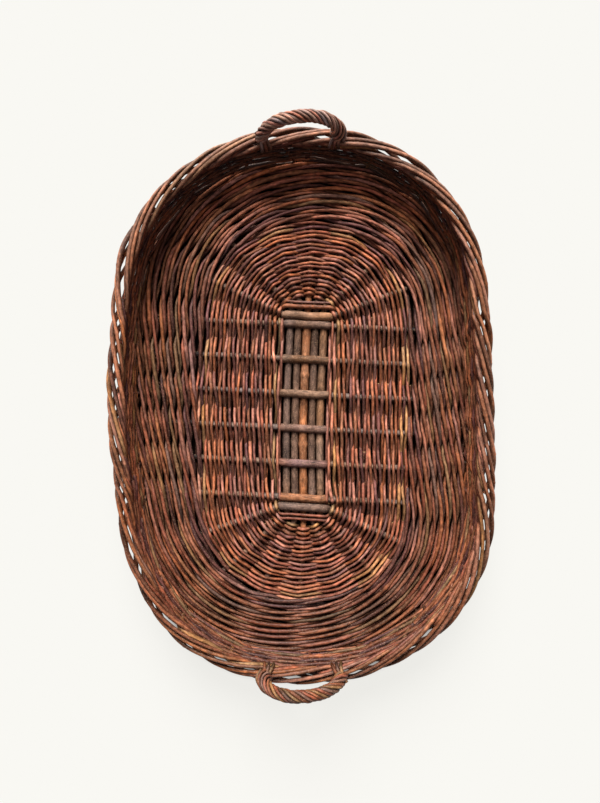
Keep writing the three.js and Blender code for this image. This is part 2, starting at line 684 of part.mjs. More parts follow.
// Lashings hook round the border beside each foot, on the side of the finger gap, and follow its lean
function lashing(middle, side) {
  const foot = footStation(middle, side);
  const { speed } = stationFrame(foot, RIM_RADIUS);
  const steps = Math.round(LASHING_TURNS * LASHING_STEPS);
  const half = LASHING_ROD_DIAMETER / 2;
  const lean = (side * BOW_SKEW * LASHING_ROD_DIAMETER) / BOW_RISE;
  const rings = [];
  for (let i = 0; i <= steps; i += 1) {
    const turned = i / LASHING_STEPS;
    const away = ROPE_RADIUS + GAP + half + lean + 2 * turned * (half + LASHING_TURN_GAP);
    const angle = Math.PI / 4 + TURN * turned;
    const station = foot - (side * away) / speed;
    rings.push(rimRing(station, angle, LASHING_WIND_RADIUS, half, half));
  }
  return { geometry: rod(rings, SQUARE), rings };
}

// Least clear distance between one turn of a wound rod and the next, measured on its middle line
function leastTurnGap(rings, thickness, stepsPerTurn) {
  let least = Infinity;
  for (let i = 0; i < rings.length; i += 1) {
    for (let j = i + stepsPerTurn - 2; j < rings.length; j += 1) {
      least = Math.min(least, rings[i].center.distanceTo(rings[j].center) - thickness);
    }
  }
  return least;
}

// The assembly
const basket = new THREE.Group();

function addPiece(name, geometry, color, roughness) {
  const material = new THREE.MeshStandardMaterial({ color, roughness, metalness: 0 });
  const mesh = new THREE.Mesh(geometry, material);
  mesh.name = name;
  basket.add(mesh);
}

function addRow(name, count, make, color, roughness) {
  for (let i = 0; i < count; i += 1) {
    addPiece(`${name}_${i + 1}`, make(i), color, roughness);
  }
}

addRow('long_stick', LONG_STICK_COUNT, longStick, GREY_BROWN, STICK_ROUGHNESS);
addRow('cross_stick', CROSS_STICK_COUNT, crossStick, GREY_BROWN, STICK_ROUGHNESS);
addPiece('end_stick_1', endStick(-1), PALE_STICK, STICK_ROUGHNESS);
addPiece('end_stick_2', endStick(1), PALE_STICK, STICK_ROUGHNESS);
addRow('binding_rod', WEAVERS, bindingRod, ORANGE_BROWN, ROD_ROUGHNESS);
addRow('base_weaver', WEAVERS, fineWeaver, RED_BROWN, ROD_ROUGHNESS);
addRow('base_wale', WALE_RODS, waleRod, RED_BROWN, ROD_ROUGHNESS);
addRow('stake_set', STAKES / STAKES_PER_SET, stakeSet, DARK_BROWN, ROD_ROUGHNESS);
addRow('upsett_rod', WALE_RODS, upsettRod, DARK_BROWN, ROD_ROUGHNESS);
addRow('wall_weaver', WEAVERS, wallWeaver, RED_BROWN, ROD_ROUGHNESS);
addRow('border_rod', BORDER_STRANDS, borderRod, RED_BROWN, ROD_ROUGHNESS);

const handles = [HALF_STATIONS + SIDE_STEPS + FAN_STEPS / 2, SIDE_STEPS + FAN_STEPS / 2];
const gaps = [];
handles.forEach((middle, end) => {
  const frame = bowFrame(middle);
  addPiece(`handle_bow_${end + 1}`, handleBow(frame), DARK_BROWN, ROD_ROUGHNESS);
  for (let i = 0; i < ROPE_STRANDS; i += 1) {
    const { geometry, rings } = ropeRod(frame, i);
    addPiece(`handle_rope_${end + 1}_${i + 1}`, geometry, RED_BROWN, ROD_ROUGHNESS);
    gaps.push(leastTurnGap(rings, ROPE_ROD_DIAMETER, ROPE_STEPS));
  }
  for (const side of [-1, 1]) {
    const { geometry, rings } = lashing(middle, side);
    addPiece(`handle_lashing_${end + 1}_${side < 0 ? 1 : 2}`, geometry, ORANGE_BROWN, ROD_ROUGHNESS);
    gaps.push(leastTurnGap(rings, LASHING_ROD_DIAMETER, LASHING_STEPS));
  }
});
console.log('least gap of a wound rod to its own next turn, mm:', Math.min(...gaps).toFixed(2));

export default basket;
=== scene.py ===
import math

import bpy
import numpy as np
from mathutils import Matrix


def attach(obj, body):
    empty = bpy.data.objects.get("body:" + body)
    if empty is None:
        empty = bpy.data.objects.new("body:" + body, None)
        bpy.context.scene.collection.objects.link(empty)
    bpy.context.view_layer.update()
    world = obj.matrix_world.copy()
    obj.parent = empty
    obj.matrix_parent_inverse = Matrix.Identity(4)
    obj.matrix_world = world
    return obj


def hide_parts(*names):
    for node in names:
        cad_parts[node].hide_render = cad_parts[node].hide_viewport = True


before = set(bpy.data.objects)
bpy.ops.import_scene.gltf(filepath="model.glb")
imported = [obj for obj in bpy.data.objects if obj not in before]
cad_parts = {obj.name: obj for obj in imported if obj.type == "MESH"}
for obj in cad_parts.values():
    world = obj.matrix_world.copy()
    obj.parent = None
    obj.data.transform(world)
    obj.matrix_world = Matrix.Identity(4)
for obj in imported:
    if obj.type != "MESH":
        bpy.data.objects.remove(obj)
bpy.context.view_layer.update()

# Oval tray basket of brown willow, woven rod by rod. Sizes are in millimetres until a mesh is made.
MM = 0.001
random = np.random.default_rng(23)

# Base sticks
CROSS_STICK_COUNT = 6
CROSS_STICK_SPACING = 52.2
LONG_STICK_COUNT = 5
LONG_STICK_SPACING = 12.7
END_STICK_OFFSET = 13.4
SLATH_RADIUS = 40.6
STICK_REACH = 230
STICK_ROOT_RADIUS = 4.7
STICK_TIP_RADIUS = 4.2
LONG_RADII = (5.6, 5.5, 6.3, 5.4, 5.7)
LONG_TAPER_REACH = 30
LONG_TAPER_POWER = 8
MIDDLE_BEND = 11
BEND_ROOM = 14
FAN_START = 48
CROSS_RADIUS = 5.9
CROSS_ARM_RADIUS = 4.9
CROSS_LIFT = 5.6
EYE_INSET = 4.6
ARM_OVERLAP = 8
END_STICK_RADIUS = 6.2
END_ARM_RADIUS = 5.2
END_LIFT = 6.0
END_STICK_HALF = 37
END_ARM_START = 36
SPLIT_CLOSING = 0.14
SPLIT_END_LIFT = 0.8
SPLIT_END_WIDTH = 0.86
SPLIT_DEPTH = 0.86
SPLIT_SIDES = 12
PAINTED_SHADE_RAMP = 10
EYE_POINTS = 34
ARM_POINTS = 46
END_POINTS = 30
FAN_POINTS = 14
SLATH_POINTS = 15

# Plan of the base and the wall
END_DEPTH = 0.984
END_SQUARENESS = 2.14
SIDE_BOW = 0.023
CROWN = 3
BASE_MIDDLE = 9.7
STATION_STEP = 0.02
WALE_RADIUS = 160
STAKE_TURN_RADIUS = 244
RIM_RADIUS = 255
RIM_HEIGHT = 66

# Binding rods: places across the slath, how far they bow back and where they lie on top
BINDING_ACROSS = np.array([-46, -40, -34, -20, 0, 20, 34, 40, 46])
BINDING_BOW = np.array([-9, -4, 0, 0, 0, 0, 0, -4, -9])
BINDING_ON_TOP = np.array([0, 0, 1, 1, 1, 1, 1, 0, 0])
BINDING_LIFT = 5.0
BINDING_DIVE = 7
BINDING_WAVE = 7.6
BINDING_RADII = (2.4, 1.9)
BINDING_TAPER = (1.05, 0.9)
BINDING_OVERHANG = 0.5
BINDING_STEP = 0.125

# Fine weave
FINE_RADIUS = 42
FINE_EDGE = 158.6
FINE_ROD = 2.3
FINE_BUTT = (1.06, 1.2)
FINE_TIP = (0.82, 0.95)
FINE_ROW_PITCH = 3.4
FINE_STROKES = (16, 34)
FAN_SWELL = 0.14
STROKE_LEAN = -1.1
MOST_STRAIGHT = 0.9
CLOSE_STICKS = 16
FAR_STICKS = 34
GAP_PLACES = np.array([0, 0.06, 0.14, 0.26, 0.42, 0.58, 0.74, 0.86, 0.94])

# Waling
WALE_ROD = 2.75
WALE_BUTT = (1.04, 1.26)
WALE_TIP = (0.76, 0.92)
WALE_ROW_PITCH = 3.35
WALE_STROKES = (18, 34)
WALE_SLANT = 1.25
WALE_EMERGE = 0.3
WALE_CREST = 0.08
WALE_START = 157.5
WALE_PRESS = 0.6
WALE_EDGE = 247
STEP_FILL = 2.6
STEP_STATION = 4.3
STEP_REACH = 2.8
STEP_ROUNDS = 3

# Stakes, wall and border
STAKE_INSERT = 40
STAKE_ROD = 2.5
STAKE_TAPER = (1.02, 1.12)
STAKE_SCATTER = 0.3
STAKE_SPREAD = (0.95, 1.12)
STAKE_EVENING = 0.6
STAKES_PER_SET = 4
STAKE_HEIGHTS = np.array([16.0, 26, 38, 50])
STAKE_BEND = 5
STAKE_BEND_LIFT = 0.6
STAKE_TIP_POINTS = 12
STAKE_TIP = 0.8
STAKE_FOOT_PAINTED_SHADE = 0.2
STAKE_FOOT_REACH = 10
POINTS_PER_STAKE = 6
ROD_OVERHANG = 1 / 3
UPSETT_ROD = 2.2
UPSETT_BUTT = (1.05, 1.18)
UPSETT_TIP = (0.85, 0.95)
UPSETT_STROKES = (26, 40)
UPSETT_STRAIGHTNESS = 0.5
UPSETT_START = 6.5
UPSETT_PITCH = 4.0
UPSETT_ROUNDS = 4
WALL_ROD = 2.5
WALL_BUTT = (1.1, 1.3)
WALL_TIP = (0.85, 0.98)
WALL_STROKES = (30, 60)
WALL_ROW_PITCH = 4.5
WALL_START = UPSETT_START + UPSETT_ROUNDS * UPSETT_PITCH + 1
WALL_TOP = 63
WALL_TURNS = (WALL_TOP - WALL_START) / (2 * WALL_ROW_PITCH)
WALL_BEND = 1.7
WALL_STEP = 0.25
WALL_FOOT_SHARE = 0.7
RIM_INSET = 3
RIM_CORE_DROP = 4.0
RIM_STEP = 0.1
BORDER_ROD = 3.3
BORDER_TAPER = (1.08, 0.8)
BORDER_SCATTER = (0.14, 0.9, 0.5)
BORDER_SPREAD = (0.85, 1.15)

# Handles
BOW_ROD = 4.4
BOW_FOOT_HEIGHT = 78.6
BOW_RISE = 38
BOW_LEAN = 10
BOW_SKEW = 9
BOW_SQUARENESS = 2.3
BOW_SLOPE_SQUARENESS = 1.85
BOW_DRAFT_POINTS = 161
BOW_POINTS = 120
FOOT_TO_STAKE = 12
ROPE_ROD = 2.2
ROPE_TAPER = (1.1, 0.96)
ROPE_SCATTER = 0.012
ROPE_SPREAD = (0.9, 1.12)
ROPE_STRANDS = 4
RODS_PER_STRAND = 2
ROPE_PITCH = 58
ROPE_BITE = 0.85
FOOT_FLARE = 1.0
SLOPE_FLARE = 3.6
FLARE_REACH = 17
LASHING_RODS = 3
LASHING_SPACING = 5.4
LASHING_RADII = (2.9, 1.9)
LASHING_SCATTER = 0.4

# Lashing hooks: share of the rods' spacing, shift along the rim, distance outside it and height above it
LASHING_HOOK = np.array([
    [0.3, 4, 7.0, 20.0],
    [0.4, 2, 3.0, 18.5],
    [0.6, -1, -3.0, 16.6],
    [0.9, -3, -9.0, 14.6],
    [1.1, -4, -13.4, 9.0],
    [1.3, -4, -13.6, 2.0],
    [1.4, -4, -9.5, -4.0],
])

# Border strokes: gaps travelled, distance outside the rim line, height above it
STAKE_STROKE = np.array([
    [0.00, -3.0, -5.0],
    [0.10, -3.4, 2.8],
    [0.45, -6.2, 4.9],
    [0.80, -8.4, 3.0],
    [1.15, -9.0, -1.4],
    [1.50, -7.6, -5.6],
    [1.75, -5.0, -7.6],
])
OVER_STROKE = np.array([
    [1.75, -1.0, -10.5],
    [2.05, 3.6, -9.8],
    [2.35, 7.0, -8.0],
    [2.65, 9.2, -5.4],
    [2.95, 10.3, -2.4],
    [3.25, 10.4, 0.8],
    [3.55, 9.3, 3.6],
    [3.85, 7.2, 5.8],
    [4.20, 4.2, 7.6],
    [4.60, 0.9, 9.0],
    [5.00, -2.3, 10.0],
    [5.40, -5.3, 10.4],
    [5.80, -8.0, 9.6],
    [6.15, -9.6, 7.0],
    [6.50, -9.2, 3.4],
    [6.80, -7.0, 0.4],
])

# Hand-made unevenness of the plan
SLATH_TURN = math.radians(-3)
SLATH_SHIFT_X = 4.2
SLATH_SHIFT_Y = -8.3
LEAN = 11.2
LEAN_CENTRE = -223
LEAN_REACH = 149
LEAN_BALANCE = 1.65
END_TILT = 0.032
TILT_REACH = 330

# Slow drifts along a rod: size, and the number of points that one swing takes
SHADE_DRIFT = (0.18, 8)
WARMTH_DRIFT = (0.3, 12)
STICK_KINK = (0.25, 9)
LONG_KINK = (0.25, 10)
ARM_THICKNESS_DRIFT = (0.03, 6)
LONG_THICKNESS_DRIFT = (0.03, 7)
ROD_KINK = (0.3, 3)
CROSS_DRIFT = (0.3, 8)
END_DRIFT = (0.5, 8)
BINDING_KINK = (0.25, 10)
BINDING_DRIFT = (0.4, 10)
FINE_DRIFT = (0.75, 10)
FINE_LEAN_DRIFT = (0.8, 9)
STROKE_DRIFT = (0.05, 8)
HEIGHT_DRIFT = (0.25, 10)
WALE_DRIFT = (0.6, 12)
WALE_THICKNESS_DRIFT = (0.05, 16)
UPSETT_DRIFT = (0.15, 10)
WALL_DRIFT = (0.2, 8)
WALL_STROKE_DRIFT = (0.1, 6)
ROPE_TURN_DRIFT = (0.11, 15)
ROPE_DRIFT = (0.3, 12)
ROPE_THICKNESS_DRIFT = (0.05, 12)

# Counts that follow
SIDE_STEPS = CROSS_STICK_COUNT - 1
FAN_STEPS = LONG_STICK_COUNT + 3
HALF_STATIONS = SIDE_STEPS + FAN_STEPS
STATIONS = 2 * HALF_STATIONS
STAKES = 2 * STATIONS
FAN_ANGLE = math.pi / FAN_STEPS
HALF_STRAIGHT = CROSS_STICK_SPACING * SIDE_STEPS / 2
FAN_LENGTH = RIM_RADIUS * FAN_ANGLE
HALF_RIM = SIDE_STEPS * CROSS_STICK_SPACING + FAN_STEPS * FAN_LENGTH
UP = np.array([0.0, 0.0, 1.0])


def srgb(red, green, blue):
    """Linear colour from the 0 to 255 values that a screen shows."""
    value = np.array([red, green, blue]) / 255
    low = value / 12.92
    high = ((value + 0.055) / 1.055) ** 2.4
    return np.where(value <= 0.04045, low, high)


# Bark colours and how often each one turns up
RED_BROWN = srgb(130, 70, 50)
ORANGE_BROWN = srgb(150, 86, 54)
PURPLE_BROWN = srgb(88, 50, 46)
PINK_BROWN = srgb(156, 99, 80)
GREY_BROWN = srgb(122, 86, 70)
OLIVE_TAN = srgb(150, 108, 68)
ASH_BROWN = srgb(112, 88, 78)
CUT_WOOD = srgb(190, 150, 104)
PORE_TAN = srgb(186, 150, 118)
BORDER_TAN = srgb(170, 111, 67)
STICK_GREY = srgb(132, 102, 86)
STICK_TAN = srgb(158, 118, 91)
STICK_ORANGE = srgb(178, 116, 78)
STICK_PLUM = srgb(150, 108, 96)
STICK_PINK = srgb(146, 110, 94)
STICK_PALE = srgb(124, 100, 86)
STICK_PAINTED_SHADE = srgb(38, 26, 22)
# Dust and painted sheen: a pale colour added where a rod faces out
DUST_AND_SHEEN = srgb(160, 125, 108)
BARKS = np.array([RED_BROWN, ORANGE_BROWN, PURPLE_BROWN, PINK_BROWN, GREY_BROWN, OLIVE_TAN])
BARK_SHARES = np.array([0.33, 0.24, 0.18, 0.15, 0.04, 0.06])
BARK_BLEND = 0.35
BARK_SPREAD = (0.78, 1.22)
BARK_STRENGTH = 1.32
LONG_TINTS = (STICK_GREY, STICK_GREY * 1.05, STICK_ORANGE, STICK_GREY * 0.8, STICK_TAN * 0.9)
CROSS_TINTS = (STICK_ORANGE, STICK_PLUM, STICK_PINK, STICK_TAN, STICK_TAN * 0.9, STICK_GREY)
END_TINTS = (STICK_GREY, STICK_TAN * 1.3)
# Rope colours for each handle, 1 at the -Y end and 2 at the +Y end: the +Y handle's tints are raised as
# painted light where it lies in shade, and the -Y handle's lowered as painted shade
ROPE_TINTS_AND_PAINTED_LIGHT = {
    1: [ORANGE_BROWN * 0.7, GREY_BROWN * 0.7, OLIVE_TAN * 0.65, RED_BROWN * 1.0],
    2: [GREY_BROWN * 2.2, PINK_BROWN * 1.35, ASH_BROWN * 2.4, ASH_BROWN * 1.8],
}

# Tone of the bark, dust with a painted sheen, and painted light and shade
STICK_STRENGTH = 0.82
# Painted shade on the sides of sticks and rods: the least share of the tint that a side keeps
STICK_PAINTED_SIDE_SHADE = 0.55
SPLIT_PAINTED_SIDE_SHADE = 0.6
ROD_PAINTED_SIDE_SHADE = 0.27
WALL_PAINTED_SIDE_SHADE = 0.2
# Dust and painted sheen: how much of the pale colour each kind of rod gets
ROD_DUST_AND_SHEEN = 0.08
WALL_DUST_AND_SHEEN = 0.04
BORDER_DUST_AND_SHEEN = 0.05
BORDER_FAR_PAINTED_SHEEN = 0.5
WALE_FAR_DUST_AND_SHEEN = 0.08
WALE_SHADE = 0.72
WALE_SPREAD = (0.8, 1.2)
# Painted shade: wall and upsett rods are darkened as a whole
WALL_PAINTED_SHADE = 0.94
BORDER_SHADE = 0.86
BORDER_BARK = 0.64
TAN_SPREAD = (0.6, 1.4)
# Painted shade on the outer waling at the +Y end: its strength, and where it starts and how wide it fades in
FAR_EDGE_PAINTED_SHADE = 0.22
FAR_EDGE_START = 220
FAR_EDGE_WIDTH = 22
PAINTED_END_START = 200
PAINTED_END_REACH = 130
# Painted light and shade at the ends, as shares of the tint: fine weave and waling lighter at the +Y end,
# most rods darker at the -Y end, wall and border darker at the +Y end
WALE_NEAR_END = -0.34
WALE_FAR_END = 1.9
FINE_FAR_END = 1.2
WALL_NEAR_END = -0.52
WALL_FAR_END = -0.66
BORDER_NEAR_END = -0.16
BORDER_FAR_END = -0.3
# Painted light on slopes that face the +Y end, and painted shade on those that face away
FINE_PAINTED_SLOPE_LIGHT = 0.26
WALE_PAINTED_SLOPE_LIGHT = 0.14
PAINTED_LIGHT_SLOPE = 0.22
WARM_SHIFT = np.array([0.15, -0.1, -0.45])
SHADE_LIMITS = (0.55, 1.6)
SHEEN_LEVEL = 0.18
ROPE_TINT_SPREAD = (0.75, 1.25)
HOOK_TINT_SPREAD = (0.9, 1.15)

# Painted shade where a rod dives: least brightness under a stick, and the wave heights where a stroke starts
# and ends to brighten
FINE_PAINTED_DIVE_SHADE = (0.5, -0.8, 0.3)
FAN_PAINTED_DIVE_SHADE = (0.26, -0.6, 0.75)
WALE_PAINTED_DIVE_SHADE = (0.32, -0.3, 0.95)

# Knots and cut ends
KNOT_SPACING = (50, 90)
KNOT_SCATTER = 8
KNOT_SWELL = (1.06, 1.16)
KNOT_SHADE = (0.55, 1.5)
CUT_SHADE = (0.5, 1.0)
CUT_DEPTH = 0.25
CUT_BEVEL = 0.12
GRAIN_SPREAD = 1000
SHARP_ANGLE = math.radians(70)


def bark_tint():
    """One rod's colour: a bark from the list, blended a little with another, lighter or darker."""
    first, second = random.choice(len(BARKS), 2, p=BARK_SHARES)
    blend = random.uniform(0, BARK_BLEND)
    tint = BARKS[first] * (1 - blend) + BARKS[second] * blend
    return tint * random.uniform(*BARK_SPREAD) * BARK_STRENGTH


def eased(share):
    """Smooth start and stop between 0 and 1."""
    return share * share * (3 - 2 * share)


def unit(vectors):
    """The same directions with length 1."""
    return vectors / np.linalg.norm(vectors, axis=-1, keepdims=True)


# Plan of the basket: a straight slath between two fans, a little turned, shifted and leaning
def hand_made(x, y, distance):
    share = (distance - WALE_RADIUS) / (STAKE_TURN_RADIUS - WALE_RADIUS)
    hold = 1 - np.clip(share, 0, 1)
    cosine = np.cos(SLATH_TURN * hold)
    sine = np.sin(SLATH_TURN * hold)
    turned_x = x * cosine - y * sine + SLATH_SHIFT_X * hold
    turned_y = x * sine + y * cosine + SLATH_SHIFT_Y * hold
    leaning = turned_x + LEAN * np.exp(-(((turned_y - LEAN_CENTRE) / LEAN_REACH) ** 2)) - LEAN_BALANCE
    tilt = END_TILT * np.clip(turned_y / TILT_REACH, 0, 1) ** 2
    return np.stack([leaning, turned_y + tilt * leaning], axis=-1)


def station_point(station, distance):
    """Point of the plan: stations count the sticks round the base, and distance is from the slath's line."""
    station, distance = np.broadcast_arrays(np.asarray(station, float), np.asarray(distance, float))
    wrapped = np.mod(station, STATIONS)
    half = np.where(wrapped >= HALF_STATIONS, -1.0, 1.0)
    step = np.where(half < 0, wrapped - HALF_STATIONS, wrapped)
    on_side = step <= SIDE_STEPS
    angle = np.where(on_side, 0.0, (step - SIDE_STEPS) * FAN_ANGLE)
    along = np.where(on_side, step * CROSS_STICK_SPACING - HALF_STRAIGHT, HALF_STRAIGHT)
    cosine = np.cos(angle)
    sine = np.sin(angle)
    power = np.abs(cosine) ** END_SQUARENESS + (sine / END_DEPTH) ** END_SQUARENESS
    side_bow = 1 + SIDE_BOW * (1 - (along / HALF_STRAIGHT) ** 2)
    bow = np.where(on_side, side_bow, power ** (-1 / END_SQUARENESS))
    reach = distance * bow
    return hand_made(half * reach * cosine, half * (along + reach * sine), distance)


def outward(station, distance):
    """Unit direction away from the middle, and the plan's length per station."""
    station = np.asarray(station)
    ahead = station_point(station + STATION_STEP, distance)
    forward = ahead - station_point(station - STATION_STEP, distance)
    length = np.linalg.norm(forward, axis=-1, keepdims=True)
    forward = forward / length
    away = np.stack([forward[..., 1], -forward[..., 0]], axis=-1)
    return away, length[..., 0] / (2 * STATION_STEP)


def base_share(distance):
    """How far out on the base a place is: 0 at the slath, 1 at the waling."""
    return np.clip((distance - SLATH_RADIUS) / (WALE_RADIUS - SLATH_RADIUS), 0, 1)


def base_middle(distance):
    """Height of the sticks on the slightly crowned base."""
    return BASE_MIDDLE + CROWN * (1 - base_share(distance) ** 2)


def stick_radius(distance):
    return STICK_ROOT_RADIUS + (STICK_TIP_RADIUS - STICK_ROOT_RADIUS) * base_share(distance)


def joined(plan, height):
    return np.concatenate([plan, np.asarray(height)[..., None]], axis=-1)


def spline(points, per_gap):
    """Smooth curve through the points."""
    points = np.asarray(points, float)
    padded = np.vstack([2 * points[0] - points[1], points, 2 * points[-1] - points[-2]])
    result = []
    for i in range(len(points) - 1):
        p0, p1, p2, p3 = padded[i : i + 4]
        for t in np.arange(per_gap) / per_gap:
            a = 2 * p1
            b = (p2 - p0) * t
            c = (2 * p0 - 5 * p1 + 4 * p2 - p3) * t**2
            d = (3 * p1 - p0 - 3 * p2 + p3) * t**3
            result.append((a + b + c + d) / 2)
    result.append(points[-1])
    return np.array(result)


def wander(count, size, reach):
    """Slow random drift along a rod."""
    knots = max(2, int(math.ceil(count / reach)) + 2)
    values = random.normal(0, size, knots)
    places = np.arange(count) / reach
    whole = np.floor(places).astype(int)
    smooth = eased(places - whole)
    return values[whole] * (1 - smooth) + values[whole + 1] * smooth


def roughen(path, size, reach):
    path = np.array(path)
    for axis in range(3):
        path[:, axis] += wander(len(path), size, reach)
    return path


def tapered(count, butt, tip):
    """Taper from a rod's butt to its tip, either way round."""
    taper = np.linspace(random.uniform(*butt), random.uniform(*tip), count)
    return taper[::-1] if random.random() < 0.5 else taper


def placed(name, data):
    """A new object in the scene."""
    made = bpy.data.objects.new(name, data)
    bpy.context.scene.collection.objects.link(made)
    return made


class Rods:
    """Rods that belong together, gathered into one mesh."""

    def __init__(self):
        self.points = []
        self.faces = []
        self.tints = []
        self.grains = []
        self.count = 0

    def ring(self, points, tint, grain):
        self.points.append(points)
        self.tints.append(np.broadcast_to(tint, points.shape))
        self.grains.append(grain)
        first = self.count
        self.count += len(points)
        return first

    def add(self, path, radii, tint, sides=8, section=None, knots=True, far=None, face=UP,
            crevice=ROD_PAINTED_SIDE_SHADE, wear=1.0, dust=ROD_DUST_AND_SHEEN):
        """One rod along a path. Its bark gets painted light where it faces out and painted shade on the
        sides that turn to the rods beside it.
        """
        path = np.asarray(path, float)
        faces = np.broadcast_to(face, path.shape)
        count = len(path)
        radii = np.broadcast_to(np.asarray(radii, float), (count,)).copy()
        steps = np.linalg.norm(np.diff(path, axis=0), axis=1)
        lengths = np.concatenate([[0], np.cumsum(steps)])
        tangents = unit(np.gradient(path, axis=0))
        shade = np.clip(1 + wander(count, *SHADE_DRIFT), *SHADE_LIMITS)[:, None]
        shade = shade * (1 + wander(count, *WARMTH_DRIFT)[:, None] * WARM_SHIFT)
        # Painted shade: the tint moves towards a dark colour where a stick arm lies under the waling
        if far is not None:
            tint = tint * (1 - far[:, None]) + STICK_PAINTED_SHADE * far[:, None]
        # The painted light and shade that the caller hands in scales the tint along the rod
        tints = tint * shade * np.broadcast_to(wear, (count,))[:, None]
        dust_and_sheen_levels = np.broadcast_to(dust, (count,))
        if knots:
            spacing = random.uniform(*KNOT_SPACING)
            knot_places = np.arange(random.uniform(0, spacing), lengths[-1], spacing)
            for place in knot_places + random.normal(0, KNOT_SCATTER, len(knot_places)):
                nearest = int(np.argmin(np.abs(lengths - place)))
                radii[nearest] *= random.uniform(*KNOT_SWELL)
                tints[nearest] *= random.uniform(*KNOT_SHADE)
        angles = 2 * np.pi * np.arange(sides) / sides
        circle = np.stack([np.cos(angles), np.sin(angles)], axis=1) if section is None else section
        sides = len(circle)
        side = np.cross(tangents[0], UP)
        if np.linalg.norm(side) < 0.1:
            side = np.cross(tangents[0], [1.0, 0.0, 0.0])
        offset = random.uniform(0, GRAIN_SPREAD, 3)
        rings = []
        for i in range(count):
            side = side - tangents[i] * np.dot(side, tangents[i])
            side /= np.linalg.norm(side)
            top = np.cross(side, tangents[i])
            spokes = circle[:, :1] * side + circle[:, 1:] * top
            grain = np.concatenate([circle * radii[i], np.full((sides, 1), lengths[i])], axis=1) + offset
            rings.append((path[i] + spokes * radii[i], spokes, grain))
        firsts = []
        for i, (points, spokes, grain) in enumerate(rings):
            # Painted light and shade: full tint where the rod faces the face direction, down to the painted
            # side shade level on its sides
            painted_facing_light = crevice + (1 - crevice) * np.abs(spokes @ faces[i]) ** 2
            colour = tints[i] * painted_facing_light[:, None] + DUST_AND_SHEEN * (dust_and_sheen_levels[i] * painted_facing_light**2)[:, None]
            firsts.append(self.ring(points, colour, grain))
        turn = np.arange(sides)
        after = (turn + 1) % sides
        for low, high in zip(firsts, firsts[1:]):
            self.faces.extend(zip(low + turn, low + after, high + after, high + turn))
        for end, order in ((0, -1), (count - 1, 1)):
            points, spokes, grain = rings[end]
            outwards = tangents[end] * order
            wood = CUT_WOOD * random.uniform(*CUT_SHADE)
            lip = self.ring(points + outwards * CUT_DEPTH - spokes * radii[end] * CUT_BEVEL, wood, grain)
            low, high = (firsts[end], lip) if order > 0 else (lip, firsts[end])
            self.faces.extend(zip(low + turn, low + after, high + after, high + turn))
            cap = lip + turn
            self.faces.append(tuple(cap if order > 0 else cap[::-1]))

    def build(self, material, slot, *nodes):
        """One piece of the scene, named after the node that it replaces."""
        name = nodes[0]
        mesh = bpy.data.meshes.new(name)
        vertices = np.concatenate(self.points) * MM
        vertices[:, 2] = np.maximum(vertices[:, 2], 0)
        mesh.from_pydata(vertices.tolist(), [], [tuple(int(v) for v in face) for face in self.faces])
        tint = mesh.attributes.new("tint", "FLOAT_COLOR", "POINT")
        colours = np.ones((len(vertices), 4))
        colours[:, :3] = np.clip(np.concatenate(self.tints), 0, 1)
        tint.data.foreach_set("color", colours.ravel())
        grain = mesh.attributes.new("grain", "FLOAT_VECTOR", "POINT")
        grain.data.foreach_set("vector", np.concatenate(self.grains).ravel())
        mesh.polygons.foreach_set("use_smooth", np.ones(len(mesh.polygons), bool))
        mesh.set_sharp_from_angle(angle=SHARP_ANGLE)
        mesh.materials.append(material)
        piece = placed(name, mesh)
        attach(piece, "root")
        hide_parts(*nodes)


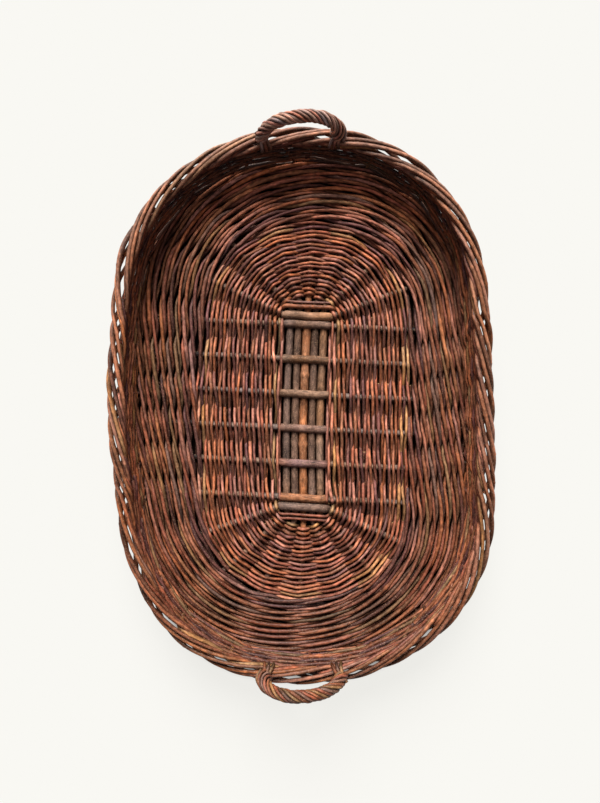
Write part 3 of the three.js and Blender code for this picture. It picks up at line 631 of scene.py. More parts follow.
# Materials
def bark_material(name, roughness, streak, mottle, speckle, coat):
    """Willow bark: the rod's own tint with long streaks, blotches, pale pores and fine ridges along it."""
    material = bpy.data.materials.new(name)
    material.use_nodes = True
    tree = material.node_tree
    shader = tree.nodes["Principled BSDF"]
    link = tree.links.new

    def node(kind, **values):
        made = tree.nodes.new(kind)
        for key, value in values.items():
            setattr(made, key, value)
        return made

    def along_rod(vector, scale):
        made = node("ShaderNodeMapping")
        made.inputs["Scale"].default_value = (1, 1, scale)
        link(vector, made.inputs["Vector"])
        return made.outputs["Vector"]

    def noise(vector, scale, detail, rough=0.5):
        made = node("ShaderNodeTexNoise")
        for socket, value in (("Scale", scale), ("Detail", detail), ("Roughness", rough)):
            made.inputs[socket].default_value = value
        link(vector, made.inputs["Vector"])
        return made.outputs["Fac"]

    def ranged(value, from_range, to_range):
        made = node("ShaderNodeMapRange")
        limits = zip(("From Min", "From Max", "To Min", "To Max"), (*from_range, *to_range))
        for socket, limit in limits:
            made.inputs[socket].default_value = limit
        link(value, made.inputs["Value"])
        return made.outputs["Result"]

    def product(first, second):
        made = node("ShaderNodeMath", operation="MULTIPLY")
        link(first, made.inputs[0])
        link(second, made.inputs[1])
        return made.outputs["Value"]

    tint = node("ShaderNodeAttribute", attribute_name="tint").outputs["Color"]
    grain = node("ShaderNodeAttribute", attribute_name="grain").outputs["Vector"]
    streaks = noise(along_rod(grain, 0.07), scale=1.5, detail=5, rough=0.65)
    blotches = noise(grain, scale=0.06, detail=3)
    mottles = noise(along_rod(grain, 0.4), scale=0.32, detail=4, rough=0.6)
    pores = node("ShaderNodeTexVoronoi")
    pores.inputs["Scale"].default_value = 0.42
    link(grain, pores.inputs["Vector"])

    streak_level = ranged(streaks, (0.28, 0.72), (1 - streak, 1 + streak))
    blotch_level = ranged(blotches, (0.35, 0.65), (0.78, 1.16))
    mottle_level = ranged(mottles, (0.34, 0.66), (1 - mottle, 1 + mottle))
    shaded = node("ShaderNodeVectorMath", operation="SCALE")
    link(tint, shaded.inputs[0])
    link(product(streak_level, product(blotch_level, mottle_level)), shaded.inputs["Scale"])

    pale = node("ShaderNodeMix", data_type="RGBA")
    pale.inputs["B"].default_value = (*PORE_TAN, 1)
    link(ranged(pores.outputs["Distance"], (0.16, 0.30), (speckle, 0)), pale.inputs["Factor"])
    link(shaded.outputs["Vector"], pale.inputs["A"])
    link(pale.outputs["Result"], shader.inputs["Base Color"])
    link(ranged(streaks, (0, 1), (roughness - 0.12, roughness + 0.16)), shader.inputs["Roughness"])

    bump = node("ShaderNodeBump")
    bump.inputs["Strength"].default_value = 0.35
    bump.inputs["Distance"].default_value = 0.0006
    link(streaks, bump.inputs["Height"])
    link(bump.outputs["Normal"], shader.inputs["Normal"])
    shader.inputs["Specular IOR Level"].default_value = SHEEN_LEVEL
    shader.inputs["Coat Weight"].default_value = coat
    shader.inputs["Coat Roughness"].default_value = 0.3
    return material


rod_bark = bark_material(
    "willow_rod_bark", roughness=0.48, streak=0.48, mottle=0.48, speckle=0.4, coat=0.03
)
stick_bark = bark_material(
    "willow_stick_bark", roughness=0.62, streak=0.55, mottle=0.45, speckle=0.6, coat=0.0
)


# Base sticks
def half_round():
    """Section of a split stick: round above, flat below."""
    angles = np.linspace(0, np.pi, SPLIT_SIDES)
    return np.stack([np.cos(angles), SPLIT_DEPTH * np.sin(angles)], axis=1)


def stick_arm(station, start):
    """Path of a stick from the slath out to the wall."""
    distance = np.linspace(start, STICK_REACH, ARM_POINTS)
    arm = joined(station_point(station, distance), base_middle(distance))
    return roughen(arm, *STICK_KINK)


def split_over(rods, plan, half_width, tint, lift):
    """The two halves of a pierced stick, above and below the long sticks, closing up at both ends."""
    place = np.linspace(-1, 1, len(plan))
    spread = eased(np.clip((1 - np.abs(place)) / SPLIT_CLOSING, 0, 1))
    widths = half_width * (SPLIT_END_WIDTH + (1 - SPLIT_END_WIDTH) * spread)
    for side in (1, -1):
        height = BASE_MIDDLE + CROWN + side * (SPLIT_END_LIFT + (lift - SPLIT_END_LIFT) * spread)
        section = half_round()[::side] * [1, side]
        path = joined(plan, height)
        rods.add(path, widths, tint, section=section, knots=False, crevice=SPLIT_PAINTED_SIDE_SHADE, dust=0)


def painted_shade_under_waling():
    """How far an arm has gone under the waling, where its tint is blended into painted shade: 0 inside, 1
    outside.
    """
    place = np.linspace(SLATH_RADIUS, STICK_REACH, ARM_POINTS)
    return np.clip((place - WALE_RADIUS + PAINTED_SHADE_RAMP) / PAINTED_SHADE_RAMP, 0, 1)


for i in range(CROSS_STICK_COUNT):
    rods = Rods()
    opposite = 2 * HALF_STATIONS - FAN_STEPS - i
    eye = SLATH_RADIUS - EYE_INSET
    across = np.linspace(-eye, eye, EYE_POINTS)
    left = station_point(opposite, np.abs(across))
    right = station_point(i, np.abs(across))
    plan = np.where(across[:, None] < 0, left, right)
    plan[:, 1] += wander(EYE_POINTS, *CROSS_DRIFT)
    split_over(rods, plan, CROSS_RADIUS, CROSS_TINTS[i] * STICK_STRENGTH, CROSS_LIFT)
    for station in (i, opposite):
        path = stick_arm(station, SLATH_RADIUS - ARM_OVERLAP)
        radii = np.linspace(CROSS_ARM_RADIUS, STICK_TIP_RADIUS, ARM_POINTS)
        radii = radii * (1 + wander(ARM_POINTS, *ARM_THICKNESS_DRIFT))
        rods.add(path, radii, STICK_PALE, sides=12, far=painted_shade_under_waling(), dust=0)
    rods.build(stick_bark, "sticks", f"cross_stick_{i + 1}")

for end, half in ((0, -1), (1, 1)):
    rods = Rods()
    first_ray = SIDE_STEPS + 1 if half > 0 else HALF_STATIONS + SIDE_STEPS + 1
    last_ray = first_ray + FAN_STEPS - 2
    across = np.linspace(-END_STICK_HALF, END_STICK_HALF, END_POINTS)
    along = np.full(END_POINTS, half * (HALF_STRAIGHT + END_STICK_OFFSET))
    plan = hand_made(half * across, along, 0)
    plan[:, 1] += wander(END_POINTS, *END_DRIFT)
    split_over(rods, plan, END_STICK_RADIUS, END_TINTS[end] * STICK_STRENGTH, END_LIFT)
    for ray in (first_ray, last_ray):
        path = stick_arm(ray, END_ARM_START)
        radii = np.linspace(END_ARM_RADIUS, STICK_TIP_RADIUS, ARM_POINTS)
        rods.add(path, radii, STICK_PALE, sides=12, far=painted_shade_under_waling(), dust=0)
    rods.build(stick_bark, "pale_sticks", f"end_stick_{end + 1}")

for i in range(LONG_STICK_COUNT):
    rods = Rods()
    side = i - (LONG_STICK_COUNT - 1) / 2
    x = side * LONG_STICK_SPACING
    angle = math.pi / 2 - side * FAN_ANGLE
    bend = END_STICK_OFFSET + MIDDLE_BEND if side == 0 else abs(x / math.cos(angle))
    bend_y = HALF_STRAIGHT + bend * math.sin(angle)
    top_ray = SIDE_STEPS + FAN_STEPS / 2 - side
    bottom_ray = HALF_STATIONS + SIDE_STEPS + FAN_STEPS / 2 + side
    reaches = np.linspace(max(bend + BEND_ROOM, FAN_START), STICK_REACH, FAN_POINTS)
    straight = hand_made(np.full(SLATH_POINTS, x), np.linspace(-bend_y, bend_y, SLATH_POINTS), 0)
    slath = joined(straight, np.full(SLATH_POINTS, BASE_MIDDLE + CROWN))
    below = joined(station_point(bottom_ray, reaches), base_middle(reaches))[::-1]
    above = joined(station_point(top_ray, reaches), base_middle(reaches))
    path = roughen(spline(np.vstack([below, slath, above]), 4), *LONG_KINK)
    middle = np.exp(-((path[:, 1] / (HALF_STRAIGHT + LONG_TAPER_REACH)) ** LONG_TAPER_POWER))
    radii = STICK_TIP_RADIUS + (LONG_RADII[i] - STICK_TIP_RADIUS) * middle
    radii = radii * (1 + wander(len(path), *LONG_THICKNESS_DRIFT))
    rods.add(path, radii, LONG_TINTS[i] * STICK_STRENGTH, sides=14, crevice=STICK_PAINTED_SIDE_SHADE, dust=0)
    rods.build(stick_bark, "sticks", f"long_stick_{i + 1}")


# Binding rods: straight across the long sticks at both ends, then over and under along the sides
def binding(index, reach, end_places, end_radii, end_tints):
    rods = Rods()
    middle = BASE_MIDDLE + CROWN
    for half, place, radius, tint in zip((1, -1), end_places, end_radii, end_tints):
        height = middle + BINDING_ON_TOP * (BINDING_LIFT + radius)
        height[[0, -1]] = middle - BINDING_DIVE
        plan = hand_made(half * BINDING_ACROSS, half * (HALF_STRAIGHT + place + BINDING_BOW), 0)
        path = roughen(spline(joined(plan, height), 6), *BINDING_KINK)
        rods.add(path, radius * np.linspace(*BINDING_TAPER, len(path)), tint, sides=10)
    for half in (1, -1):
        tint = bark_tint()
        steps = np.arange(-BINDING_OVERHANG, SIDE_STEPS + BINDING_OVERHANG + BINDING_STEP / 2, BINDING_STEP)
        station = steps + (0 if half > 0 else HALF_STATIONS)
        wave = np.cos(np.pi * (steps + index + (0 if half > 0 else 1)))
        plan = station_point(station, reach + wander(len(steps), *BINDING_DRIFT))
        path = joined(plan, middle + wave * BINDING_WAVE)
        rods.add(path, np.linspace(*BINDING_RADII, len(path)), tint, sides=10)
    rods.build(rod_bark, "binding", f"binding_rod_{index + 1}")


binding(
    0,
    reach=35,
    end_places=(26.3, 25.5),
    end_radii=(3.4, 2.3),
    end_tints=(ORANGE_BROWN * 1.15, RED_BROWN * 1.1),
)
binding(
    1,
    reach=38,
    end_places=(33.6, 31.5),
    end_radii=(2.0, 2.2),
    end_tints=(PINK_BROWN * 0.85, RED_BROWN * 1.05),
)


# How rods bend, and where painted light and shade fall on them
def painted_dive_shade(wave, least, low, high):
    """Painted light and shade: a rod is brighter where it shows, and darker where it dives under a stick."""
    return least + (1 - least) * np.clip((wave - low) / (high - low), 0, 1)


def bent(stroke, straightness):
    """Height of a rod over and under single sticks: straight between wide ones, bent sharply at each."""
    straight = np.abs(np.mod(stroke, 2) - 1) * 2 - 1
    return straightness * straight + (1 - straightness) * np.cos(np.pi * stroke)


def straightness_at(station, distance):
    """Rods bend evenly where sticks are close together, and lie straight between sticks far apart."""
    gap = outward(station, distance)[1]
    return MOST_STRAIGHT * np.clip((gap - CLOSE_STICKS) / (FAR_STICKS - CLOSE_STICKS), 0, 1)


def places_along(low, high):
    """Stations along a rod with half a gap at both ends, closer together at the sticks."""
    whole = np.arange(low - 1, high + 1)
    every = (whole[:, None] + GAP_PLACES).ravel()
    return every[(every >= low - 0.5) & (every <= high + 0.5)]


def painted_end_shading(path, near_end, far_end):
    """Painted light and shade: the tint is scaled up or down towards the -Y end of the tray and towards the
    +Y end.
    """
    past = np.clip((np.abs(path[:, 1]) - PAINTED_END_START) / PAINTED_END_REACH, 0, 1)
    return 1 + past * np.where(path[:, 1] < 0, near_end, far_end)


def painted_slope_light(path, strength):
    """Painted light and shade: a rod is paler on slopes that face the +Y end, where the key light comes
    from, and darker on those that face away.
    """
    tangents = unit(np.gradient(path, axis=0))
    facing = -tangents[:, 2] * tangents[:, 1]
    return 1 + strength * np.clip(facing / PAINTED_LIGHT_SLOPE, -1, 1)


def lengths_of_rods(start, last, parity, strokes, period):
    """Stations where one rod ends and the next begins, under a stick apart from the last."""
    places = [start]
    while places[-1] < last:
        end = places[-1] + int(random.integers(*strokes))
        end += (parity - end) % period
        places.append(min(end, last))
    return list(zip(places, places[1:]))


# Fine weave of the base: two weavers chase each other over alternate sticks
for index in range(2):
    rods = Rods()
    start = index * HALF_STATIONS
    turns = (FINE_EDGE - FINE_RADIUS) / (2 * FINE_ROW_PITCH)
    last = start + int(turns * STATIONS)
    for low, high in lengths_of_rods(start, last, index + 1, FINE_STROKES, 2):
        station = places_along(low, high)
        count = len(station)
        radius = FINE_ROD * tapered(count, FINE_BUTT, FINE_TIP)
        distance = FINE_RADIUS + 2 * FINE_ROW_PITCH * (station - start) / STATIONS
        distance = distance + wander(count, *FINE_DRIFT)
        wide = np.minimum(outward(station, distance)[1] / CROSS_STICK_SPACING, 1)
        lean = STROKE_LEAN * wide * (1 + wander(count, *FINE_LEAN_DRIFT))
        distance = distance + lean * np.sin(np.pi * (station + index))
        straightness = straightness_at(station, distance)
        wave = bent(station + index + wander(count, *STROKE_DRIFT), straightness)
        spread = straightness / MOST_STRAIGHT
        radius = radius * (1 + FAN_SWELL * (1 - spread))
        lift = stick_radius(distance) + radius
        height = base_middle(distance) + wave * lift + wander(count, *HEIGHT_DRIFT)
        path = roughen(joined(station_point(station, distance), height), *ROD_KINK)
        # Painted light and shade: darker where the rod dives, lighter towards the +Y end and on slopes that
        # face it
        crest = painted_dive_shade(wave, *FINE_PAINTED_DIVE_SHADE) * spread + painted_dive_shade(wave, *FAN_PAINTED_DIVE_SHADE) * (1 - spread)
        wear = crest * painted_end_shading(path, 0, FINE_FAR_END) * painted_slope_light(path, FINE_PAINTED_SLOPE_LIGHT)
        rods.add(path, radius, bark_tint(), wear=wear)
    rods.build(rod_bark, "base_weave", f"base_weaver_{index + 1}")


# Waled outer base: over two sticks and under one, so that each round steps on by a stick
def wale_wave(stroke, straightness):
    """Height of a rod that lies over two sticks and under the third."""
    stroke = np.mod(stroke, 3)
    over = 1 + WALE_CREST * np.sin(np.pi * stroke)
    return np.where(stroke < 1, over, bent(stroke - 1, straightness))


def wale_slant(stroke):
    """Sideways swing of the same rod: straight across its row over two sticks, and back under the third."""
    stroke = np.mod(stroke + WALE_EMERGE, 3) - WALE_EMERGE
    over = 2 * stroke - 1
    back = (2 - stroke) * (1 + 2 * WALE_EMERGE) / (1 - WALE_EMERGE)
    return np.where(stroke < 1 + WALE_EMERGE, over, back)


wales = [Rods() for _ in range(3)]
last = int((WALE_EDGE - WALE_ROD - WALE_START) / WALE_ROW_PITCH * STATIONS)
for number, (low, high) in enumerate(lengths_of_rods(0, last, 2, WALE_STROKES, 3)):
    station = places_along(low, high)
    count = len(station)
    radius = WALE_ROD * tapered(count, WALE_BUTT, WALE_TIP) * (1 + wander(count, *WALE_THICKNESS_DRIFT))
    row = station / STATIONS + WALE_SLANT * wale_slant(station)
    first_rounds = np.clip(1 - station / (STEP_ROUNDS * STATIONS), 0, 1)
    pressed = WALE_START - WALE_PRESS * first_rounds
    distance = pressed + WALE_ROW_PITCH * row + wander(count, *WALE_DRIFT)
    from_step = np.mod(HALF_STATIONS / 2 - station - STEP_STATION, HALF_STATIONS) - HALF_STATIONS / 2
    fill = STEP_FILL * np.exp(-((from_step / STEP_REACH) ** 2)) * first_rounds
    distance = np.clip(distance, pressed, WALE_EDGE - radius) - fill
    lift = stick_radius(distance) + radius
    wave = wale_wave(station + wander(count, *STROKE_DRIFT), straightness_at(-station, distance))
    height = base_middle(distance) + wave * lift + wander(count, *HEIGHT_DRIFT)
    path = roughen(joined(station_point(-station, distance), height), *ROD_KINK)
    path[:, 2] = np.maximum(path[:, 2], radius)
    # Painted light and shade: darker where the rod dives, and scaled towards each end
    wear = painted_dive_shade(wave, *WALE_PAINTED_DIVE_SHADE) * painted_end_shading(path, WALE_NEAR_END, WALE_FAR_END)
    # Painted shade: the outermost rows of waling at the +Y end are darkened where the far wall's shadow
    # falls
    far_end = np.clip(path[:, 1] / TILT_REACH, 0, 1)
    far_edge_painted_shade = np.clip((distance - FAR_EDGE_START) / FAR_EDGE_WIDTH, 0, 1) * far_end
    wear = wear * painted_slope_light(path, WALE_PAINTED_SLOPE_LIGHT) * (1 - FAR_EDGE_PAINTED_SHADE * far_edge_painted_shade)
    tint = bark_tint() * WALE_SHADE * random.uniform(*WALE_SPREAD)
    wales[number % 3].add(path, radius, tint, wear=wear, dust=ROD_DUST_AND_SHEEN + WALE_FAR_DUST_AND_SHEEN * far_end)
for index, rods in enumerate(wales):
    rods.build(rod_bark, "base_wale", f"base_wale_{index + 1}")


# Where each stake stands: beside a stick at its foot, and more evenly spaced along the rim
def station_at_length(length):
    wrapped = np.mod(length, HALF_RIM)
    halves = np.round((length - wrapped) / HALF_RIM)
    past = wrapped - SIDE_STEPS * CROSS_STICK_SPACING
    step = np.where(past < 0, wrapped / CROSS_STICK_SPACING, SIDE_STEPS + past / FAN_LENGTH)
    return halves * HALF_STATIONS + step


def rim_station(stake):
    stake = np.asarray(stake, float)
    paired = (stake - 0.5) / 2
    middle_stake = SIDE_STEPS + 0.5
    spread = 2 * HALF_RIM / STAKES
    even = station_at_length(SIDE_STEPS * CROSS_STICK_SPACING / 2 + (stake - middle_stake) * spread)
    return paired * (1 - STAKE_EVENING) + even * STAKE_EVENING


def stake_foot(stake):
    """Inner end of a stake and the place where it turns up."""
    station = math.floor(stake / 2)
    beside = -1 if stake % 2 == 0 else 1
    turn = station_point(station, STAKE_TURN_RADIUS)
    inner = station_point(station, STAKE_TURN_RADIUS - STAKE_INSERT)
    along = unit(turn - inner)
    across = np.array([-along[1], along[0]]) * beside * (STICK_TIP_RADIUS + STAKE_ROD)
    return inner + across, turn + across


def wall_point(stake, height):
    """The middle of a stake at a height on the wall."""
    stake = np.atleast_1d(np.asarray(stake, float))
    low = np.floor(stake).astype(int)
    part = (stake - low)[:, None]
    foot_before = np.array([stake_foot(s)[1] for s in low])
    foot_after = np.array([stake_foot(s + 1)[1] for s in low])
    feet = foot_before * (1 - part) + foot_after * part
    share = (np.asarray(height) - BASE_MIDDLE) / (RIM_HEIGHT - BASE_MIDDLE)
    radius = STAKE_TURN_RADIUS + (RIM_RADIUS - RIM_INSET - STAKE_TURN_RADIUS) * share
    station = rim_station(stake)
    tops = station_point(station, radius)
    bottoms = feet + (tops - station_point(station, STAKE_TURN_RADIUS))
    rise = np.clip(share / WALL_FOOT_SHARE, 0, 1)[:, None]
    return bottoms * (1 - rise) + tops * rise


# Wall: a three-rod upsett at its foot, then two weavers that chase each other round the stakes
def wall_rod(stake, height, side, offset):
    """A rod woven round the stakes: side is +1 outside and -1 inside."""
    plan = wall_point(stake, height)
    ahead = wall_point(np.asarray(stake) + WALL_STEP, height)
    behind = wall_point(np.asarray(stake) - WALL_STEP, height)
    forward = unit(ahead - behind)
    away = np.stack([forward[:, 1], -forward[:, 0]], axis=1)
    # Direction of the wall rods' painted light and shade: inwards and up
    faces = joined(-away, np.ones(len(away))) / math.sqrt(2)
    return joined(plan + away * (side * offset)[:, None], height), faces


def stakes_along(low, high):
    """Places along a rod of the wall, a little past its first and last stake."""
    count = round((high - low + 2 * ROD_OVERHANG) * POINTS_PER_STAKE) + 1
    return low + (np.arange(count) / POINTS_PER_STAKE - ROD_OVERHANG)


upsett = [Rods() for _ in range(3)]
upsett_lengths = lengths_of_rods(0, UPSETT_ROUNDS * STAKES, 2, UPSETT_STROKES, 3)
for number, (low, high) in enumerate(upsett_lengths):
    stake = stakes_along(low, high)
    count = len(stake)
    height = UPSETT_START + UPSETT_PITCH * stake / STAKES + wander(count, *UPSETT_DRIFT)
    radius = UPSETT_ROD * tapered(count, UPSETT_BUTT, UPSETT_TIP)
    path, faces = wall_rod(stake, height, wale_wave(stake, UPSETT_STRAIGHTNESS), WALL_BEND)
    # Painted light and shade towards each end of the tray
    wear = painted_end_shading(path, WALE_NEAR_END, WALL_FAR_END)
    upsett[number % 3].add(path, radius, bark_tint() * WALL_PAINTED_SHADE, face=faces, wear=wear)
for index, rods in enumerate(upsett):
    rods.build(rod_bark, "upsett", f"upsett_rod_{index + 1}")

for index in range(2):
    rods = Rods()
    start = index * STATIONS
    last = start + int(WALL_TURNS * STAKES)
    for low, high in lengths_of_rods(start, last, index + 1, WALL_STROKES, 2):
        stake = stakes_along(low, high)
        count = len(stake)
        radius = WALL_ROD * tapered(count, WALL_BUTT, WALL_TIP)
        height = WALL_START + 2 * WALL_ROW_PITCH * (stake - start) / STAKES + wander(count, *WALL_DRIFT)
        wave = np.cos(np.pi * (stake + index + wander(count, *WALL_STROKE_DRIFT)))
        path, faces = wall_rod(stake, height, wave, WALL_BEND)
        # Painted shade towards each end of the tray
        wear = painted_end_shading(path, WALL_NEAR_END, WALL_FAR_END)
        tint = bark_tint() * WALL_PAINTED_SHADE
        rods.add(path, radius, tint, face=faces, wear=wear, crevice=WALL_PAINTED_SIDE_SHADE, dust=WALL_DUST_AND_SHEEN)
    rods.build(rod_bark, "wall_weave", f"wall_weaver_{index + 1}")


# Stakes, laid down along the rim, and the border's rods that pass over them
def rim_path(stake, stroke):
    station = rim_station(stake + stroke[:, 0])
    away, _ = outward(station, RIM_RADIUS)
    plan = station_point(station, RIM_RADIUS) + away * stroke[:, 1:2]
    return joined(plan, RIM_HEIGHT + stroke[:, 2])


def rim_faces(path):
    """Directions away from the rim line, which the border's rods show to the outside."""
    stations = np.arange(0, STATIONS, RIM_STEP)
    line = joined(station_point(stations, RIM_RADIUS), np.full(len(stations), RIM_HEIGHT - RIM_CORE_DROP))
    nearest = np.argmin(np.linalg.norm(path[:, None] - line, axis=2), axis=1)
    return unit(path - line[nearest])


for index in range(STAKES // STAKES_PER_SET):
    rods = Rods()
    for stake in range(index * STAKES_PER_SET, (index + 1) * STAKES_PER_SET):
        inner, turn = stake_foot(stake)
        along = unit(turn - inner)
        foot = np.array([
            [*inner, BASE_MIDDLE],
            [*((inner + turn) / 2), BASE_MIDDLE],
            [*(turn - along * STAKE_BEND), BASE_MIDDLE + STAKE_BEND_LIFT],
        ])
        rising = joined(wall_point(np.full(len(STAKE_HEIGHTS), stake), STAKE_HEIGHTS), STAKE_HEIGHTS)
        over = rim_path(stake, STAKE_STROKE + [0, *random.normal(0, STAKE_SCATTER, 2)])
        path = spline(np.vstack([foot, rising, over]), 5)
        radii = np.linspace(*STAKE_TAPER, len(path)) * STAKE_ROD * random.uniform(*STAKE_SPREAD)
        radii[-STAKE_TIP_POINTS:] *= np.linspace(1, STAKE_TIP, STAKE_TIP_POINTS)
        # Painted shade: a stake is darkened where it lies flat under the waling
        outside = np.clip((path[:, 2] - BASE_MIDDLE) / STAKE_FOOT_REACH, STAKE_FOOT_PAINTED_SHADE, 1)
        rods.add(path, radii, bark_tint(), sides=10, wear=outside)
    rods.build(rod_bark, "stakes", f"stake_set_{index + 1}")

for index in range(3):
    rods = Rods()
    for stake in range(index, STAKES, 3):
        stroke = OVER_STROKE + random.normal(0, BORDER_SCATTER)
        path = spline(rim_path(stake, stroke), 5)
        radii = BORDER_ROD * np.linspace(*BORDER_TAPER, len(path)) * random.uniform(*BORDER_SPREAD)
        bark = bark_tint() * BORDER_BARK
        tan = BORDER_TAN * (1 - BORDER_BARK) * random.uniform(*TAN_SPREAD)
        # Painted light and shade along the border towards each end, and a painted sheen that grows towards
        # the +Y end where the key light falls
        wear = painted_end_shading(path, BORDER_NEAR_END, BORDER_FAR_END)
        dust = BORDER_DUST_AND_SHEEN + BORDER_FAR_PAINTED_SHEEN * np.clip(path[:, 1] / TILT_REACH, 0, 1) ** 2
        tint = (bark + tan) * BORDER_SHADE
        # The border's painted light falls on the sides that face away from the rim line
        rods.add(path, radii, tint, sides=10, face=rim_faces(path), wear=wear, dust=dust)
    rods.build(rod_bark, "border", f"border_rod_{index + 1}")


# Handles: a bow, rods roped round it, and hooks that lash its feet to the border
def foot_station(middle, side):
    """A handle's foot stands just short of the second stake from its middle."""
    stations = rim_station(np.arange(0, 2 * STAKES + 1))
    beyond = stations[side * (stations - middle) > 0]
    second = beyond[np.argsort(np.abs(beyond - middle))][1]
    return second - side * FOOT_TO_STAKE / outward(second, RIM_RADIUS)[1]


for end, middle in ((1, HALF_STATIONS + SIDE_STEPS + FAN_STEPS / 2), (2, SIDE_STEPS + FAN_STEPS / 2)):
    feet = {side: foot_station(middle, side) for side in (-1, 1)}
    left = joined(station_point(feet[1], RIM_RADIUS), BOW_FOOT_HEIGHT)
    right = joined(station_point(feet[-1], RIM_RADIUS), BOW_FOOT_HEIGHT)
    centre = (left + right) / 2
    span = left - centre
    away = unit(np.array([span[1], -span[0], 0]))
    rise = UP * BOW_RISE + away * BOW_LEAN - unit(span) * BOW_SKEW
    angles = np.linspace(0, np.pi, BOW_DRAFT_POINTS)
    squareness = np.where(np.cos(angles) > 0, BOW_SQUARENESS, BOW_SLOPE_SQUARENESS)
    sideways = np.sign(np.cos(angles)) * np.abs(np.cos(angles)) ** (2 / squareness)
    upwards = np.sin(angles) ** (2 / squareness)
    bow = centre + span * sideways[:, None] + rise * upwards[:, None]
    lengths = np.concatenate([[0], np.cumsum(np.linalg.norm(np.diff(bow, axis=0), axis=1))])
    places = np.linspace(0, lengths[-1], BOW_POINTS)
    bow = np.stack([np.interp(places, lengths, bow[:, k]) for k in range(3)], axis=1)
    flat = unit(np.cross(span, rise))

    core = Rods()
    core.add(bow, BOW_ROD, PURPLE_BROWN, sides=10)
    core.build(rod_bark, "handle_bow", f"handle_bow_{end}")

    beside = np.cross(flat, unit(np.gradient(bow, axis=0)))
    from_foot = np.minimum(places, places[-1] - places)
    flare = np.where(places < places[-1] / 2, FOOT_FLARE, SLOPE_FLARE)
    coil = BOW_ROD + ROPE_ROD * ROPE_BITE + flare * np.exp(-((from_foot / FLARE_REACH) ** 2))
    for strand in range(ROPE_STRANDS):
        rods = Rods()
        for rod in range(RODS_PER_STRAND):
            phase = (strand + rod / RODS_PER_STRAND) / ROPE_STRANDS + random.normal(0, ROPE_SCATTER)
            turned = 2 * np.pi * (phase - places / ROPE_PITCH) + wander(BOW_POINTS, *ROPE_TURN_DRIFT)
            spokes = flat * np.cos(turned)[:, None] + beside * np.sin(turned)[:, None]
            path = bow + spokes * (coil + wander(BOW_POINTS, *ROPE_DRIFT))[:, None]
            taper = np.linspace(*ROPE_TAPER, BOW_POINTS)
            radii = ROPE_ROD * taper * (1 + wander(BOW_POINTS, *ROPE_THICKNESS_DRIFT))
            tint = ROPE_TINTS_AND_PAINTED_LIGHT[end][(strand + 2 * rod) % ROPE_STRANDS] * random.uniform(*ROPE_TINT_SPREAD)
            rods.add(path, radii * random.uniform(*ROPE_SPREAD), tint, sides=10, face=spokes)
        rods.build(rod_bark, "handle_rope", f"handle_rope_{end}_{strand + 1}")

    for number, side in ((1, -1), (2, 1)):
        rods = Rods()
        speed = outward(feet[side], RIM_RADIUS)[1]
        for rod in range(LASHING_RODS):
            spread = (rod - (LASHING_RODS - 1) / 2) * LASHING_SPACING
            along = spread * LASHING_HOOK[:, 0] + side * LASHING_HOOK[:, 1]
            hook = LASHING_HOOK[:, 2:] + random.normal(0, LASHING_SCATTER, 2)
            station = feet[side] + along / speed
            out, _ = outward(station, RIM_RADIUS)
            plan = station_point(station, RIM_RADIUS) + out * hook[:, :1]
            path = spline(joined(plan, RIM_HEIGHT + hook[:, 1]), 6)
            radii = np.linspace(*LASHING_RADII, len(path))
            rods.add(path, radii, ROPE_TINTS_AND_PAINTED_LIGHT[end][rod] * random.uniform(*HOOK_TINT_SPREAD), sides=10)
        rods.build(rod_bark, "handle_lashing", f"handle_lashing_{end}_{number}")


# Floor: pale, with a painted soft shadow below the basket that is stretched at both ends
FLOOR_REACH = 4000
FLOOR_STEP = 0.25
FLOOR_PALE = srgb(248, 247, 242)
FLOOR_GLOW = srgb(245, 244, 239)
# Painted shadow under the basket: its colour, then the rings where it fades out, the share of pale floor at
# each, and how far it is stretched at both ends
FLOOR_PAINTED_SHADOW = srgb(26, 17, 14)
BACKDROP_EVENNESS = 0.9
PAINTED_SHADOW_RINGS = (248, 254, 262, 270, 276, 282)
PAINTED_SHADOW_LEVELS = (0, 0.05, 0.25, 0.7, 0.92, 1)
NEAR_PAINTED_SHADOW = 24
FAR_PAINTED_SHADOW = 13
PAINTED_SHADOW_REACH = 300


def floor_mesh():
    around = np.arange(0, STATIONS, FLOOR_STEP)
    count = len(around)
    rings = [station_point(around, FINE_RADIUS)]
    for distance in PAINTED_SHADOW_RINGS:
        edge = station_point(around, distance)
        stretch = np.clip(np.abs(edge[:, 1]) / PAINTED_SHADOW_REACH, 0, 1)
        edge[:, 1] += stretch * np.where(edge[:, 1] < 0, -NEAR_PAINTED_SHADOW, FAR_PAINTED_SHADOW)
        rings.append(edge)
    first_angle = -math.atan2(HALF_STRAIGHT, STAKE_TURN_RADIUS)
    angles = np.linspace(0, 2 * np.pi, count, endpoint=False) + first_angle
    rings.append(FLOOR_REACH * np.stack([np.cos(angles), np.sin(angles)], axis=1))
    points = joined(np.vstack(rings), np.zeros(len(rings) * count)) * MM
    faces = [tuple(range(count))]
    for low in range(0, count * (len(rings) - 1), count):
        high = low + count
        for turn in range(count):
            after = (turn + 1) % count
            faces.append((low + turn, high + turn, high + after, low + after))
    mesh = bpy.data.meshes.new("floor")
    mesh.from_pydata(points.tolist(), [], faces)
    outside_painted_shadow = mesh.attributes.new("outside_painted_shadow", "FLOAT", "POINT")
    outside_painted_shadow.data.foreach_set("value", np.repeat([0.0, *PAINTED_SHADOW_LEVELS, 1.0], count))
    return mesh


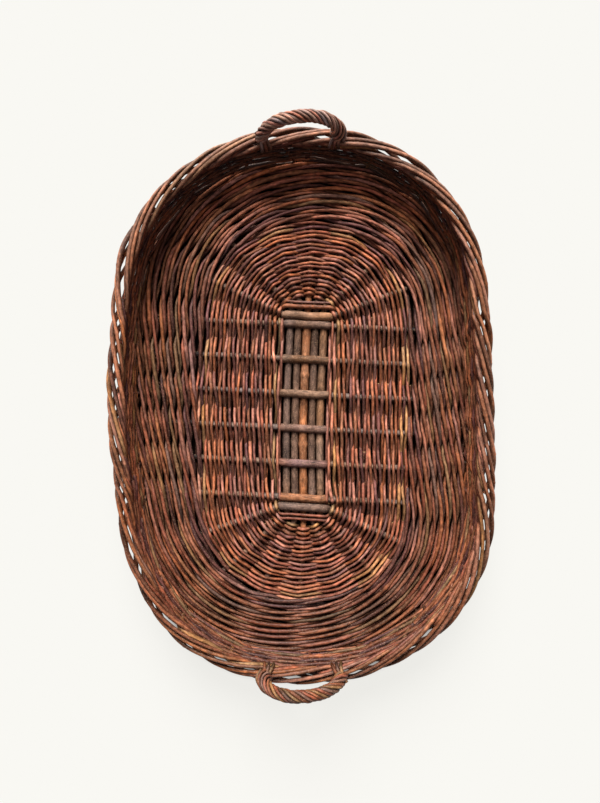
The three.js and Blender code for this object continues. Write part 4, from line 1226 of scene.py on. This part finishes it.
def floor_material():
    """Matt floor that keeps its shadow, darkened below the basket by a painted shadow, and looks evenly pale
    to the camera outside that painted shadow.
    """
    material = bpy.data.materials.new("pale_floor")
    material.use_nodes = True
    tree = material.node_tree
    link = tree.links.new
    shader = tree.nodes["Principled BSDF"]
    shader.inputs["Roughness"].default_value = 0.9
    shader.inputs["Specular IOR Level"].default_value = 0
    outside_painted_shadow = tree.nodes.new("ShaderNodeAttribute")
    outside_painted_shadow.attribute_name = "outside_painted_shadow"
    colour = tree.nodes.new("ShaderNodeMix")
    colour.data_type = "RGBA"
    colour.inputs["A"].default_value = (*FLOOR_PAINTED_SHADOW, 1)
    colour.inputs["B"].default_value = (*FLOOR_PALE, 1)
    link(outside_painted_shadow.outputs["Fac"], colour.inputs["Factor"])
    link(colour.outputs["Result"], shader.inputs["Base Color"])
    evenness = tree.nodes.new("ShaderNodeMath")
    evenness.operation = "MULTIPLY"
    evenness.inputs[1].default_value = BACKDROP_EVENNESS
    link(outside_painted_shadow.outputs["Fac"], evenness.inputs[0])
    rays = tree.nodes.new("ShaderNodeLightPath")
    seen = tree.nodes.new("ShaderNodeMath")
    seen.operation = "MULTIPLY"
    link(rays.outputs["Is Camera Ray"], seen.inputs[0])
    link(evenness.outputs["Value"], seen.inputs[1])
    glow = tree.nodes.new("ShaderNodeEmission")
    glow.inputs["Color"].default_value = (*FLOOR_GLOW, 1)
    blend = tree.nodes.new("ShaderNodeMixShader")
    link(seen.outputs["Value"], blend.inputs["Fac"])
    link(shader.outputs["BSDF"], blend.inputs[1])
    link(glow.outputs["Emission"], blend.inputs[2])
    link(blend.outputs["Shader"], tree.nodes["Material Output"].inputs["Surface"])
    return material


floor = placed("floor", floor_mesh())
floor.data.materials.append(floor_material())

# Light: one soft key from beyond the +Y end, an even fill, and a pale backdrop that only the camera sees
KEY_STRENGTH = 6.6
KEY_SOFTNESS = math.radians(36)
KEY_TILT = math.radians(-56)
KEY_TURN = math.radians(5)
FILL_COLOUR = (1, 0.93, 1, 1)
FILL_STRENGTH = 0.17
key_light = bpy.data.lights.new("key", "SUN")
key_light.energy = KEY_STRENGTH
key_light.angle = KEY_SOFTNESS
key = placed("key", key_light)
key.rotation_euler = (KEY_TILT, 0, KEY_TURN)

world = bpy.data.worlds.new("studio")
bpy.context.scene.world = world
world.use_nodes = True
sky = world.node_tree
fill_light = sky.nodes["Background"]
fill_light.inputs["Color"].default_value = FILL_COLOUR
fill_light.inputs["Strength"].default_value = FILL_STRENGTH
backdrop = sky.nodes.new("ShaderNodeBackground")
backdrop.inputs["Color"].default_value = (*FLOOR_PALE, 1)
sky_rays = sky.nodes.new("ShaderNodeLightPath")
sky_blend = sky.nodes.new("ShaderNodeMixShader")
sky.links.new(sky_rays.outputs["Is Camera Ray"], sky_blend.inputs["Fac"])
sky.links.new(fill_light.outputs["Background"], sky_blend.inputs[1])
sky.links.new(backdrop.outputs["Background"], sky_blend.inputs[2])
sky.links.new(sky_blend.outputs["Shader"], sky.nodes["World Output"].inputs["Surface"])

# Camera, straight above the tray, in metres
CAMERA_PLACE = (-0.0014, 0.0064, 0.890)
CAMERA_LENS = 26
camera_data = bpy.data.cameras.new("camera")
camera_data.sensor_width = 36
camera_data.lens = CAMERA_LENS
camera = placed("camera", camera_data)
camera.location = CAMERA_PLACE
bpy.context.scene.camera = camera
bpy.context.scene.view_settings.view_transform = "Standard"
